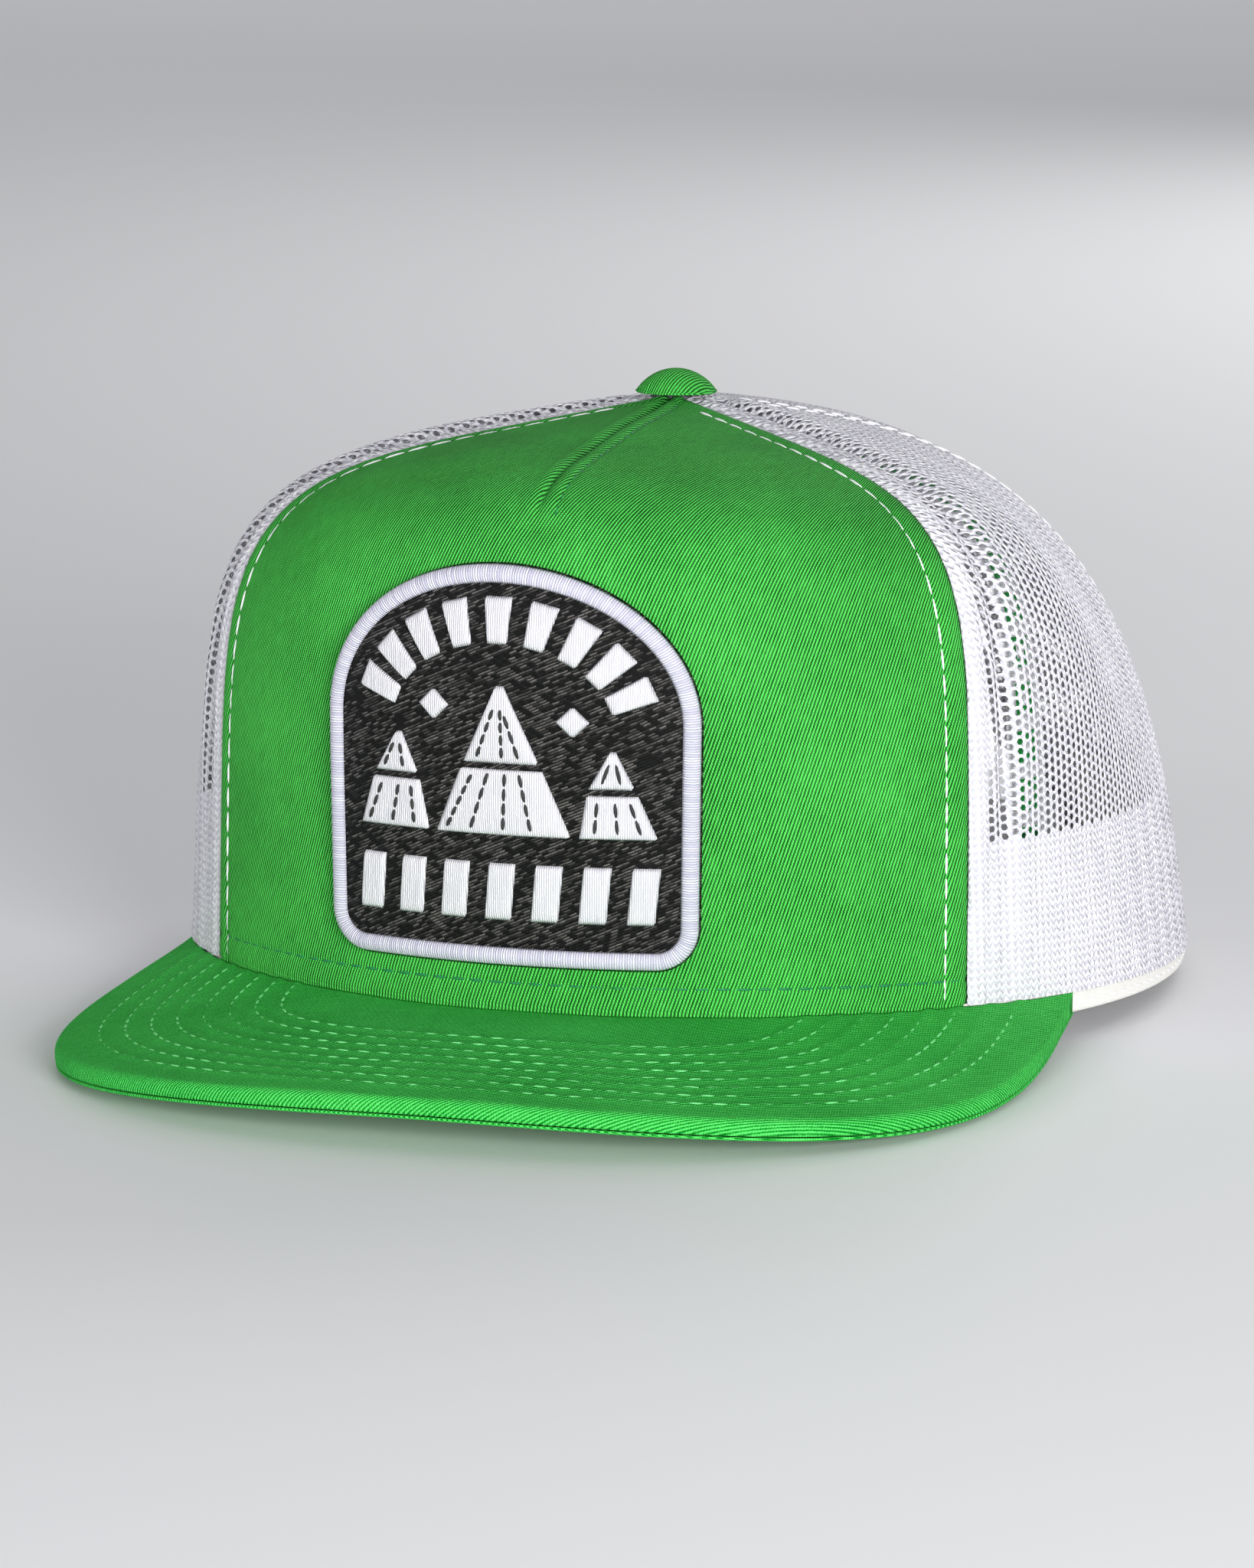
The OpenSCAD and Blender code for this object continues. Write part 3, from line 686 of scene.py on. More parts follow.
def knit_cells(panel):
    """The flat panel as rows of six-sided cells, brought in to its outline."""
    left, right = panel.low_s.min(), panel.high_s.max()
    columns = math.ceil((right - left) / HOLE_ACROSS)
    rows = 2 * math.ceil(panel.climb[-1] / HOLE_UP)
    bm = grid(columns, rows)
    spare = []
    for e in bm.edges:
        a, b = (v.co for v in e.verts)
        if abs(a.y - b.y) < 1e-6:
            i, j = int(min(a.x, b.x) * columns + 0.5), int(a.y * rows + 0.5)
            if 0 < j < rows and (i + j) % 2:
                spare.append(e)
    bmesh.ops.dissolve_edges(bm, edges=spare, use_verts=False)
    for v in bm.verts:
        i, j = int(v.co.x * columns + 0.5), int(v.co.y * rows + 0.5)
        lean = 0.24 if (i + j) % 2 == 0 else -0.24
        v.co.x = left + i * HOLE_ACROSS + lean
        v.co.y = j * HOLE_UP / 2
    flat = np.array([v.co[:2] for v in bm.verts])
    phi, t = panel.locate(flat[:, 0], flat[:, 1])
    s, h = panel.flat(phi, t)
    for v, *place in zip(bm.verts, s, h):
        v.co.xy = place
    bmesh.ops.remove_doubles(bm, verts=bm.verts, dist=0.12)
    bmesh.ops.dissolve_degenerate(bm, edges=bm.edges, dist=0.08)
    thin = [f for f in bm.faces if f.calc_area() < 0.02]
    bmesh.ops.delete(bm, geom=thin, context="FACES")
    return bm


def knit_panel(name, node, panel, front_edge, strip_first, strip_last):
    bm = knit_cells(panel)
    full = HOLE_ACROSS * HOLE_UP
    faces = list(bm.faces)
    s, h = np.array([f.calc_center_median()[:2] for f in faces]).T
    phi, t = panel.locate(s, h)
    a, b = panel.margins(s, t)
    edge = np.where(np.abs(phi) > 180 - ARCH_ANGLE - 3, 5.5, 2.6)
    is_open = (a > strip_first) & (b > strip_last) & (h > BAND_H - 1) & (h < panel.climb[-1] - 6)
    is_open &= h - np.interp(low_t(phi), panel.t, panel.climb) > edge
    cells = [f for f, ok in zip(faces, is_open) if ok and f.calc_area() > 0.9 * full]
    kept = set(cells)
    dimples = [f for f in faces if f not in kept and f.calc_area() > 0.6 * full]
    bmesh.ops.scale(bm, vec=(SQUASH, 1, 1), verts=bm.verts)
    bmesh.ops.inset_individual(bm, faces=cells, thickness=YARN_UP, depth=-0.06, use_even_offset=True)
    bmesh.ops.delete(bm, geom=cells, context="FACES")
    bmesh.ops.inset_individual(bm, faces=dimples, thickness=0.36, depth=-0.26, use_even_offset=True)
    bmesh.ops.scale(bm, vec=(1 / SQUASH, 1, 1), verts=bm.verts)
    mesh = mesh_from(bm, name)
    s, h, d = points_of(mesh).T
    phi, t = panel.locate(s, h)
    a, b = panel.margins(s, t)
    d = d - 0.5 * near(np.minimum(a, b), 0, 1.0)
    if front_edge:
        f = a if front_edge < 0 else b
        fall = 0.3 + 0.7 * smooth_step(h, 20, 42)
        d = d + 0.25 * near(f, 2.6, 1.4) - 0.35 * near(f, 4.9, 0.7)
        d = d - 1.5 * fall * near(f, 8.5, 1.8) + 0.5 * fall * near(f, 13, 2.6)
    clear = smooth_step(np.minimum(a, b), 4, 16) * smooth_step(h, 8, 30)
    d = d + 0.45 * clear * np.sin(s / 13.0 + panel.middle) * np.sin(h / 17.0 + 0.6)
    lay_weave(mesh, np.stack([s, h], -1))
    put(mesh, off(phi, t, d))
    hand_over(mesh, name, knit_white, node=node, slot="white_mesh", thickness=0.22)


gap = 0.05
side_middle, back_middle = (FRONT_SEAM + SIDE_SEAM) / 2, (SIDE_SEAM + 180) / 2
left_side = Panel(side_middle, FRONT_SEAM + gap, SIDE_SEAM - gap)
right_side = Panel(-side_middle, -SIDE_SEAM + gap, -FRONT_SEAM - gap)
left_back = Panel(back_middle, SIDE_SEAM + gap, 180 - gap)
right_back = Panel(-back_middle, -180 + gap, -SIDE_SEAM - gap)
knit_panel("left_side_knit", "left_side_mesh", left_side, -1, 4.6, 3.4)
knit_panel("right_side_knit", "right_side_mesh", right_side, 1, 3.4, 4.6)
knit_panel("left_back_knit", "left_back_mesh", left_back, 0, 3.4, 3.0)
knit_panel("right_back_knit", "right_back_mesh", right_back, 0, 3.0, 3.4)


# ---- tapes, bands and label ----

def ribbon(name, phi0, from_mm, to_mm, finish, slot):
    """A tape along a seam, inside the crown, from the sweatband or the arched opening up."""
    low = arch_t[-1] + 0.05 if phi0 == 180 else t_at(phi0, BAND_H + 0.8)
    steps = np.linspace(float(low), 0.92, 200)
    climb = run_lengths(crown(phi0, steps))

    def place(u, v):
        t = np.interp(v * climb[-1], climb, steps)
        mm = from_mm + (to_mm - from_mm) * u
        curl = 0.18 * (2 * u - 1) ** 2 - 0.1 * np.sin(v * 40)
        wide = mm - (from_mm + to_mm) / 2
        return off(beside(phi0, t, mm), t, -TAPE_DEPTH - curl), np.stack([wide, v * climb[-1]], -1)
    cloth(name + "_cloth", 8, 110, place, finish, node=name, slot=slot, thickness=0.35)


for name, phi0, first, last in (
        ("left_seam_tape", FRONT_SEAM, -6, 5), ("right_seam_tape", -FRONT_SEAM, -5, 6),
        ("left_print_tape", FRONT_SEAM, 10.5, 20.5), ("right_print_tape", -FRONT_SEAM, -20.5, -10.5),
        ("left_side_tape", SIDE_SEAM, -6, 6), ("right_side_tape", -SIDE_SEAM, -6, 6),
        ("back_tape", 180.0, -6, 6)):
    ribbon(name, phi0, first, last, *((printed, "printed_tape") if "print" in name
                                      else (tape_white, "white_tape")))

BAND_END = 180 - ARCH_ANGLE - 7


def band_depth(phi):
    """The band lies behind the stiff front, and against the mesh at the sides and back."""
    return 2.3 - 1.55 * smooth_step(np.abs(phi), 53, 60)


def place_band(u, v):
    """The sweatband: hem to top, a little full between its stitches."""
    phi = (2 * u - 1) * BAND_END
    z = 4.4 + (BAND_H - 4.4) * v
    low = hem_z(phi)
    t = t_at(phi, np.maximum(z, low))
    puff = np.sin(np.clip((z - 7) / 22, 0, 1) * math.pi) * (0.3 + 0.1 * np.sin(phi * 0.7))
    crimp = 0.1 * np.sin(phi * 1.9) * smooth_step(z, 8, 26)
    p = off(phi, t, -band_depth(phi) - 0.35 * puff - crimp)
    p[:, 2] += np.minimum(0, z - low)
    return p, np.stack([phi * 1.65, z], -1)


cloth("sweatband_cloth", 260, 22, place_band, cream, node="sweatband", slot="cream_cotton", thickness=1.1)

HEM_END = 180 - ARCH_ANGLE - 1
hem_fold = np.array([(0, 4.9), (0, 3.0), (0, 1.4), (0.12, 0.45), (0.35, 0.08), (0.6, 0.0), (0.8, 0.12),
                     (0.95, 0.6), (1.0, 1.6), (1.0, 3.4), (1.0, 6.2)])


def place_hem(u, v):
    """The folded tape whose edge shows under the mesh."""
    phi = (2 * u - 1) * HEM_END
    deep, z = pick(v, hem_fold[::-1]).T
    d = 0.66 + deep * (band_depth(phi) + 1.1) - 0.08 * np.sin(phi * 3.1) * (z < 3)
    xy = base_point(phi) * (1 - d / HALF_W)[:, None]
    return np.stack([xy[:, 0], xy[:, 1], z], -1), np.stack([phi * 1.65, z * 1.5 + d * 3], -1)


cloth("hem_cloth", 300, len(hem_fold) - 1, place_hem, cream, node="hem_tape", slot="cream_cotton",
      thickness=0.35)

arch_fold = np.array([(7.0, 0.45), (6.6, 0.72), (4.5, 0.8), (2.5, 0.78), (0.8, 0.8), (-0.1, 0.7),
                      (-0.65, 0.3), (-0.85, -0.4), (-0.85, -1.0), (-0.6, -1.6), (0.1, -1.9), (2.0, -2.0),
                      (4.5, -2.0), (7.0, -1.95)])


def arch_line(along, out):
    """Angle and height on the crown, from one foot of the arch to the other."""
    a = along * math.pi
    phi = 180 - (ARCH_ANGLE + out / HALF_W * DEG) * np.cos(a)
    phi = np.where(phi > 180, phi - 360, phi)
    return phi, t_at(phi, HEM_GAP + 0.2 + (ARCH_H + out) * np.sin(a))


def place_arch(u, v):
    """The binding round the arched opening."""
    out, d = pick(v, arch_fold).T
    phi, t = arch_line(u, out)
    return off(phi, t, d + 0.07 * np.sin(u * 150)), np.stack([u * 150, pick(v, run_lengths(arch_fold))], -1)


cloth("arch_binding_cloth", 200, len(arch_fold) - 1, place_arch, tape_white, node="arch_binding",
      slot="white_tape", thickness=0.4)


def place_label(u, v):
    x, z = 18 * u - 9, 14 + 30 * v
    phi = x / HALF_W * DEG
    return off(phi, t_at(phi, z), -5.05 - 0.5 * np.sin(v * math.pi) * (0.4 + 0.6 * u)), np.stack([x, z], -1)


cloth("care_label_cloth", 14, 24, place_label, tape_white,
      node="care_label", slot="white_tape", thickness=0.25)


# ---- visor ----

def visor_edge(phi, inset):
    turn = math.pi / 2 * phi / VISOR_ANGLE
    power = 2 / 2.6
    ends = base_point(np.array(VISOR_ANGLE))
    half = ends[0] + (VISOR_BOW - inset - ends[0]) * np.sin(2 * np.abs(turn))
    side = np.sign(turn) * np.abs(np.sin(turn)) ** power
    ahead = np.maximum(0, np.cos(turn)) ** power
    return np.stack([half * side, ends[1] - (HALF_L + VISOR_LEN - inset + ends[1]) * ahead], -1)


def visor_z(phi, p):
    flat = HEM_GAP + FRONT_RISE + 0.07 * (p[..., 1] + HALF_L) - 0.001 * p[..., 0] ** 2
    away = np.linalg.norm(p - base_point(phi), axis=-1)
    return flat + (hem_z(phi) - flat) * np.exp(-away / 12) - 0.1


VISOR_END = 0.999 * VISOR_ANGLE
rim_line = visor_edge(np.linspace(-0.992 * VISOR_ANGLE, 0.992 * VISOR_ANGLE, 900), np.zeros(900))
STITCH_ROWS = [8 + 4.7 * k for k in range(8)]


def from_rim(p):
    """Distance of each point from the visor's outer edge."""
    far = np.empty(len(p))
    for i in range(0, len(p), 2000):
        part = p[i:i + 2000]
        far[i:i + 2000] = np.sqrt(((part[:, None, :] - rim_line[None]) ** 2).sum(-1).min(1))
    return far


def visor_relief(p):
    """Quilting of the stitch rows, in mm."""
    away, d = from_rim(p), 0
    for row in STITCH_ROWS:
        d = d - 0.24 * near(away, row, 0.95) * (1 + 0.3 * np.sin(p[:, 0] * math.tau / 4.0 + row))
    return d + 0.05 * np.sin(p[:, 0] / 5 + p[:, 1] / 7)


# each row of a visor cover: share of the way to the rim, how far in from it, how far down, in mm
flat_rows = [(s, 1.3 * s, 0.0) for s in np.concatenate([[0, 0.015, 0.03], np.linspace(0.05, 1, 62)])]
rim_rows = [(1.0, 1.3 * (1 - math.sin(a)), 1.3 * (1 - math.cos(a)))
            for a in np.radians([18, 36, 54, 72, 90])]
top_rows = np.array(flat_rows + rim_rows
                    + [(1.0, 0.0, 1.9), (1.0, 0.03, 2.5), (1.0, 0.25, 2.95), (1.0, 0.9, 3.1)])
under_rows = np.array([(s, 0.9 * s, 3.9) for s in np.linspace(0, 1, 52)]
                      + [(1.0, 0.45, 3.8), (1.0, 0.2, 3.55), (1.0, 0.35, 3.3), (1.0, 0.9, 3.2)])


def place_visor(rows, side):
    def place(u, v):
        phi = side * VISOR_END * (2 * u - 1)
        s, inset, drop = pick(v, rows).T
        a = base_point(phi)
        outward = visor_edge(phi, 0 * phi) - a
        room = np.linalg.norm(outward, axis=-1)
        inset = inset * np.clip(room / 9, 0.1, 1)
        p = a + (visor_edge(phi, inset) - a) * s[:, None]
        over = np.abs(drop - rows[0][2])
        z = visor_z(phi, p) - drop + side * visor_relief(p) * (over < 0.01)
        return np.stack([p[:, 0], p[:, 1], z], -1), p + outward * (over / room)[:, None]
    return place


cloth("visor_top_twill", 300, len(top_rows) - 1, place_visor(top_rows, -1), visor_green,
      node="visor_top_cover", slot="green_twill", thickness=0.4)
cloth("visor_under_twill", 240, len(under_rows) - 1, place_visor(under_rows, 1), visor_green,
      node="visor_under_cover", slot="green_twill", thickness=0.4)

top_u, top_s = np.meshgrid(np.linspace(-1, 1, 420), np.linspace(0, 1, 150), indexing="ij")
top_phi = VISOR_END * top_u.ravel()
top_a = base_point(top_phi)
top_p = top_a + (visor_edge(top_phi, 0 * top_phi) - top_a) * top_s.ravel()[:, None]
top_z = visor_z(top_phi, top_p)


def on_visor(p):
    """Height of the visor's top at each point."""
    z = np.empty(len(p))
    for i in range(0, len(p), 400):
        part = p[i:i + 400]
        z[i:i + 400] = top_z[((part[:, None, :] - top_p[None]) ** 2).sum(-1).argmin(1)]
    return z


def visor_lines(drop, up):
    """The stitch rows that follow the visor's outer edge, and end at the crown."""
    along = np.gradient(rim_line, axis=0)
    inward = np.stack([-along[:, 1], along[:, 0]], -1) / np.linalg.norm(along, axis=1, keepdims=True)
    lines = []
    for row in STITCH_ROWS:
        p = rim_line + inward * row
        ok = from_rim(p) > row - 0.35
        ok &= (p[:, 0] / (HALF_W + 1.2)) ** 2 + (p[:, 1] / (HALF_L + 1.2)) ** 2 > 1
        ok &= (p[:, 1] < -35)
        p = p[ok][::3]
        if len(p) < 4:
            continue
        z = on_visor(p)
        z = np.convolve(np.pad(z, 2, mode="edge"), np.full(5, 0.2), mode="valid") - drop
        lines.append((np.column_stack([p, z]), np.tile([0, 0, up], (len(p), 1))))
    return lines


for name, drop, up, wide in (("visor_top_stitches", -0.02, 1.0, 0.62),
                             ("visor_under_stitches", 4.0, -1.0, 0.6)):
    sewn(name, visor_lines(drop, up), green_thread, "green_twill", length=3.2, gap=0.9, wide=wide)


# ---- seam stitches ----

def up_panel(panel, relief, s_of, h0, h1, lift=-0.1, count=160):
    """A line of sewing that climbs a panel; s_of gives its place across from h."""
    h = np.linspace(h0, h1, count)
    t = np.interp(h, panel.climb, panel.t)
    s = s_of(h, t)
    phi, t = panel.locate(s, h)
    return off(phi, t, relief(s, h, t) + lift), crown_normal(phi, t)


def still(s, h, t):
    return 0 * s


top_h = front.climb[-1]
seam_lines = [up_panel(front, front_relief,
                       lambda h, t: k * (np.interp(t, front.t, front.high_s) - SEAM_STITCH),
                       1.0, top_h - 12, lift=0.02) for k in (-1, 1)]
sewn("front_seam_stitches", seam_lines, white_thread, "white_mesh", length=4.1, gap=0.5, wide=0.46)
dart_line = up_panel(front, front_relief, lambda h, t: DART_STITCH + 0 * h, dart_h + 1, top_h - 7)
sewn("dart_stitches", [dart_line], seam_thread, "green_twill", length=2.8, gap=0.9, proud=0.28)


def hem_run(panel, h, in_from, relief, lift):
    phi = np.linspace(panel.first + in_from, panel.last - in_from, 300)
    t = np.interp(h, panel.climb, panel.t) + low_t(phi)
    s, level = panel.flat(phi, t)
    return off(phi, t, relief(s, level, t) + lift), crown_normal(phi, t)


sewn("front_hem_stitches", [hem_run(front, TURN_UP, 0.4, front_relief, -0.05)], seam_thread,
     "green_twill", wide=0.55, proud=0.32)

knit_lines = []
for panel, side, room in ((left_side, 1, 2.0), (right_side, -1, 2.0), (left_back, -1, 2.0),
                          (left_back, 1, 1.6), (right_back, -1, 1.6), (right_back, 1, 2.0)):
    edge, seam = (panel.low_s, panel.first) if side < 0 else (panel.high_s, panel.last)
    over_arch = float(np.interp(arch_t[-1], panel.t, panel.climb)) + 7.5
    knit_lines.append(up_panel(panel, still, lambda h, t: np.interp(t, panel.t, edge) - side * room,
                               over_arch if abs(seam) > 179 else 1.5, panel.climb[-1] - 10, lift=-0.02))
sewn("knit_seam_stitches", knit_lines, white_thread, "white_mesh")

arch_lines = []
for out, d in ((1.6, 0.82), (5.6, 0.82), (1.6, -2.02), (5.6, -2.02)):
    phi, t = arch_line(np.linspace(0.03, 0.97, 200), out)
    arch_lines.append((off(phi, t, np.full(200, d)), crown_normal(phi, t) * np.sign(d)))
sewn("arch_stitches", arch_lines, white_thread, "white_tape", length=2.8, proud=0.26)

phi_band = np.linspace(-BAND_END + 1, BAND_END - 1, 500)
band_lines = []
for z in (8.0, BAND_H - 2.4):
    t = t_at(phi_band, z)
    p = off(phi_band, t, -band_depth(phi_band) - 1.25)
    band_lines.append((p, -crown_normal(phi_band, t)))
sewn("sweatband_stitches", band_lines, white_thread, "cream_cotton",
     length=3.2, gap=1.0, wide=0.55, proud=0.4)

hem_xy = base_point(np.linspace(-HEM_END + 1, HEM_END - 1, 500)) * (1 - 0.68 / HALF_W)
hem_line = np.column_stack([hem_xy, np.full(500, 1.9)]), np.column_stack([hem_xy / 100, np.zeros(500)])
sewn("hem_stitches", [hem_line], white_thread, "cream_cotton", length=2.6, gap=0.9, proud=0.28)


# ---- patch ----

PATCH_CORNER = 8   # radius of its lower corners, in mm

def patch_point(x, z, d):
    phi = (x + PATCH_SHIFT) / HALF_W * DEG
    return off(phi, t_at(phi, PATCH_LOW + z), SKIN + d)


def foot_z(u):
    past = np.maximum(0, np.abs(u) * PATCH_W / 2 - (PATCH_W / 2 - PATCH_CORNER))
    return PATCH_CORNER - np.sqrt(np.maximum(0, PATCH_CORNER ** 2 - past ** 2))


def head_z(u):
    return PATCH_SIDE_H + (PATCH_H - PATCH_SIDE_H) * np.sqrt(np.maximum(0, 1 - u * u))


def place_ground(u, v):
    side = np.sin((2 * u - 1) * math.pi / 2)
    z = foot_z(side) + (head_z(side) - foot_z(side)) * v
    x = side * PATCH_W / 2
    rim = np.minimum.reduce([PATCH_W / 2 - np.abs(x), z - foot_z(side), (head_z(side) - z) * 0.8])
    d = 1.05 - 0.75 * np.exp(-np.maximum(rim, 0) / 0.5)
    return patch_point(x, z, d), np.stack([x, z], -1)


def rim_shape(inset, count=24):
    """Corner points of the patch's outline, drawn in by inset."""
    half, r = PATCH_W / 2 - inset, PATCH_CORNER - inset
    head = np.linspace(0, math.pi, 3 * count)
    one, two = np.linspace(math.pi, 1.5 * math.pi, count), np.linspace(1.5 * math.pi, math.tau, count)
    x = np.concatenate([half * np.cos(head), -half + r + r * np.cos(one),
                        half - r + r * np.cos(two), [half]])
    z = np.concatenate([PATCH_SIDE_H + (PATCH_H - PATCH_SIDE_H - inset) * np.sin(head),
                        inset + r + r * np.sin(one), inset + r + r * np.sin(two), [PATCH_SIDE_H]])
    return np.stack([x, z], -1)


outer_rim, inner_rim = rim_shape(0.75), rim_shape(3.3)
rim_reach = run_lengths((outer_rim + inner_rim) / 2)


def place_border(u, v):
    way = u * rim_reach[-1]
    a, b = (np.stack([np.interp(way, rim_reach, rim[:, i]) for i in (0, 1)], -1)
            for rim in (outer_rim, inner_rim))
    p = b + (a - b) * v[:, None]
    d = 1.0 + 0.85 * np.sin(np.clip(v, 0, 1) * math.pi) ** 0.6 + 0.05 * np.sin(way * math.tau / 0.8)
    return patch_point(p[:, 0], p[:, 1], d), np.stack([way, v * 3], -1)


cloth("patch_cloth", 90, 90, place_ground, black_fill,
      node="patch_ground", slot="black_stitch", thickness=0.5)
cloth("patch_edging", 560, 9, place_border, white_satin, closed=True,
      node="patch_border", slot="white_stitch", thickness=0.4)


def wedge(a):
    a = math.radians(a)
    c = np.array([24.5 * math.cos(a), 43 + 19.5 * math.sin(a)])
    n = np.array([math.cos(a) / 24.5, math.sin(a) / 19.5])
    n = n / np.linalg.norm(n)
    side = np.array([n[1], -n[0]])
    return [c - n * 4.2 - side * 1.8, c - n * 4.2 + side * 1.8,
            c + n * 4.2 + side * 2.6, c + n * 4.2 - side * 2.6]


PEAKS = [[(-12, 24), (13, 24), (8, 36), (-7, 36)], [(-6.5, 37), (7.5, 37), (1.2, 51), (-0.2, 51)],
         [(-28, 24), (-13.2, 24), (-15, 33), (-25, 33)],
         [(-24.5, 34), (-15.3, 34), (-18.6, 41.5), (-19.6, 41.5)],
         [(14.2, 24), (28, 24), (24.5, 32), (15.5, 32)], [(15.8, 33), (24, 33), (20.6, 40), (19.6, 40)]]
STARS = [(13.2, 45), (-12, 47)]
shapes = [wedge(20 + 17.5 * k) for k in range(9)] + PEAKS
shapes += [[(x - 3, z), (x, z - 3), (x + 3, z), (x, z + 3)] for x, z in STARS]
shapes += [[(x - 3, 8.5), (x + 2, 8.5), (x + 3, 19), (x - 2, 19)]
           for x in (-25.5 + 8.5 * k for k in range(7))]


def picture():
    """The plain picture: every shape is a raised field of laid threads."""
    whole = bmesh.new()
    across = []
    for corners in shapes:
        c = np.array(corners, float)
        span = max(np.linalg.norm(c[1] - c[0]), np.linalg.norm(c[3] - c[0]))
        cells = int(np.clip(span / 0.7, 8, 30))
        part = mesh_from(grid(cells, cells), "shape")
        u, v, _ = points_of(part).T
        p = (c[0] * (1 - u)[:, None] + c[1] * u[:, None]) * (1 - v)[:, None]
        p = p + (c[3] * (1 - u)[:, None] + c[2] * u[:, None]) * v[:, None]
        raised = (1 - np.abs(2 * u - 1) ** 6) * (1 - np.abs(2 * v - 1) ** 6)
        put(part, patch_point(p[:, 0], p[:, 1], 1.0 + 0.8 * raised ** 0.5))
        whole.from_mesh(part)
        across.append(p)
        bpy.data.meshes.remove(part)
    mesh = mesh_from(whole, "patch_picture")
    lay_weave(mesh, np.concatenate(across))
    hand_over(mesh, "patch_picture", white_fill, node="patch_motif", slot="white_stitch", thickness=0.3)


picture()


def patch_line(points, lift=1.85):
    points = np.asarray(points, float)
    reach = run_lengths(points)
    way = np.linspace(0, reach[-1], max(8, int(reach[-1])))
    x, z = (np.interp(way, reach, points[:, i]) for i in (0, 1))
    phi = (x + PATCH_SHIFT) / HALF_W * DEG
    return patch_point(x, z, lift), crown_normal(phi, t_at(phi, PATCH_LOW + z))


ridges = [patch_line(line) for line in (
    [(-9.5, 25), (-4.5, 35)], [(-5, 25), (-1.5, 35.5)], [(1, 25), (1.5, 35.5)], [(6, 25), (4, 35.5)],
    [(-3.6, 38), (-0.4, 47)], [(1, 38), (0.8, 47)], [(4, 38), (1.4, 46)],
    [(-25.5, 25), (-22.5, 32)], [(-20.5, 25), (-19, 32)], [(-16, 25), (-16.5, 32)],
    [(-22, 35), (-19.8, 39.5)], [(-18, 35), (-18.6, 39.5)],
    [(17, 25), (17.5, 31)], [(21, 25), (20.5, 31)], [(25, 25), (23, 31)], [(18.2, 34), (19.6, 38)],
    [(21.5, 34), (20.6, 38)])]
sewn("patch_ridge_stitches", ridges, black_thread, "black_stitch", length=2.0, gap=0.25, wide=0.75)


# ---- covered button ----

def button():
    ball = (BUTTON_R ** 2 + BUTTON_H ** 2) / (2 * BUTTON_H)
    low = math.asin(BUTTON_R / ball)
    profile = [(0.0, BUTTON_H)] + [(ball * math.sin(a), BUTTON_H - ball + ball * math.cos(a))
                                   for a in np.linspace(low / 14, low, 14)]
    profile[-1] = (BUTTON_R, 0.35)
    profile += [(BUTTON_R - 0.25, 0.05), (BUTTON_R - 1.0, 0.0)]
    bm = bmesh.new()
    ring = [bm.verts.new((r, 0, z)) for r, z in profile]
    edges = [bm.edges.new(pair) for pair in zip(ring, ring[1:])]
    bmesh.ops.spin(bm, geom=ring + edges, axis=(0, 0, 1), cent=(0, 0, 0), angle=math.tau, steps=96,
                   use_merge=True)
    bmesh.ops.remove_doubles(bm, verts=bm.verts, dist=0.01)
    bmesh.ops.recalc_face_normals(bm, faces=bm.faces)
    mesh = mesh_from(bm, "button_cloth")
    co = points_of(mesh)
    r, turn = np.hypot(co[:, 0], co[:, 1]), np.arctan2(co[:, 1], co[:, 0])
    gather = smooth_step(r, 4.5, BUTTON_R) * (0.06 * np.cos(turn * 17) + 0.05 * np.cos(turn * 29 + 1))
    flat = co[:, :2] * (1 + 0.15 * (r / BUTTON_R) ** 2)[:, None]
    co[:, :2] *= (1 + gather / np.maximum(r, 1))[:, None]
    co[:, 2] += gather * 0.4
    co += (0, -FORWARD, HEIGHT + 0.2)
    lay_weave(mesh, flat)
    put(mesh, co)
    hand_over(mesh, "button_cloth", green, node="button_cover", slot="green_twill", thickness=0.5)


button()

for node, finish in (("button_shell", metal), ("button_rivet", metal), ("visor_board", board_plastic),
                     ("hole_strap", strap_plastic), ("peg_strap", strap_plastic),
                     ("hole_strap_tab", strap_plastic), ("peg_strap_tab", strap_plastic)):
    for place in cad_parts[node].material_slots:
        place.material = finish


# ---- floor, light and camera ----

def direction(azimuth, elevation):
    a, e = math.radians(azimuth), math.radians(elevation)
    return Vector((math.sin(a) * math.cos(e), -math.cos(a) * math.cos(e), math.sin(e)))


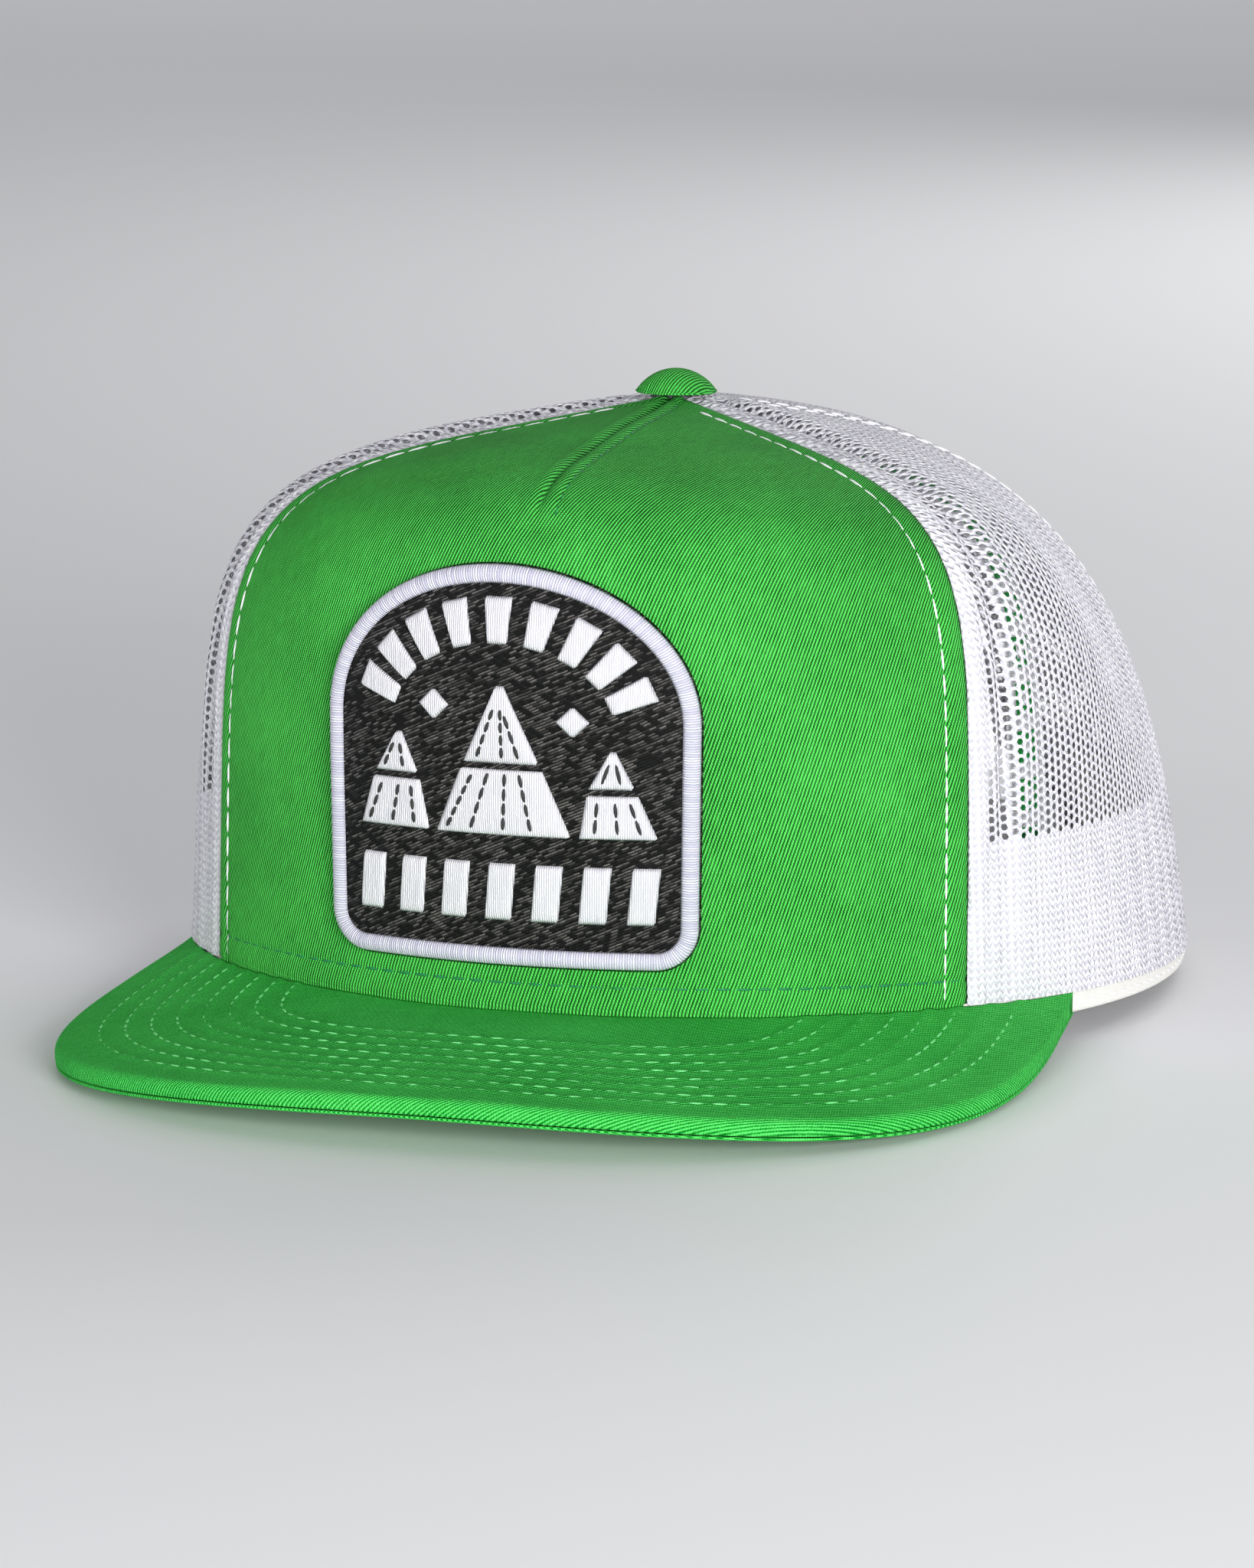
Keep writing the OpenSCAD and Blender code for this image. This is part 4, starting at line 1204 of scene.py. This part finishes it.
def add_light(name, size, watts, place):
    lamp = bpy.data.lights.new(name, "AREA")
    lamp.size, lamp.energy = size, watts
    light = bpy.data.objects.new(name, lamp)
    light.location = place
    bpy.context.collection.objects.link(light)
    return light


def studio():
    bm = bmesh.new()
    bmesh.ops.create_grid(bm, x_segments=1, y_segments=1, size=6)
    mesh = mesh_from(bm, "floor")
    floor = bpy.data.objects.new("floor", mesh)
    floor.location.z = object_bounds()[0][2]
    bpy.context.collection.objects.link(floor)
    paint = bpy.data.materials.new("pale floor")
    paint.use_nodes = True
    shader = paint.node_tree.nodes["Principled BSDF"]
    shader.inputs["Base Color"].default_value = (0.88, 0.88, 0.89, 1)
    shader.inputs["Roughness"].default_value = 0.6
    mesh.materials.append(paint)
    floor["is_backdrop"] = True

    world = bpy.data.worlds.new("studio")
    world.use_nodes = True
    world.node_tree.nodes["Background"].inputs["Color"].default_value = (0.85, 0.86, 0.9, 1)
    world.node_tree.nodes["Background"].inputs["Strength"].default_value = 0.34
    bpy.context.scene.world = world

    for name, azimuth, elevation, distance, size, watts in (
            ("key", 34, 8, 1.5, 0.5, 25), ("fill", -38, 10, 1.6, 0.7, 8.5), ("back", 165, 22, 1.6, 0.9, 8)):
        out = direction(azimuth, elevation)
        light = add_light(name, size, watts, Vector((0, 0, 0.05)) + out * distance)
        light.rotation_euler = out.to_track_quat("Z", "Y").to_euler()
    add_light("far_floor", 2.2, 12, (-1.0, 3.1, 1.7))


def camera():
    lens = bpy.data.cameras.new("camera")
    lens.sensor_width, lens.lens = 36, 155.44
    lens.clip_start, lens.clip_end = 0.05, 20
    eye = bpy.data.objects.new("camera", lens)
    out, roll = direction(17.707, 10.692), math.radians(0.193)
    eye.location = Vector((-0.00467, -0.0251, 0.04039)) + out * 1.278
    turn = out.to_track_quat("Z", "Y").to_matrix() @ Matrix.Rotation(-roll, 3, "Z")
    eye.rotation_euler = turn.to_euler()
    bpy.context.collection.objects.link(eye)
    bpy.context.scene.camera = eye


studio()
camera()
bpy.context.scene.view_settings.view_transform = "Standard"
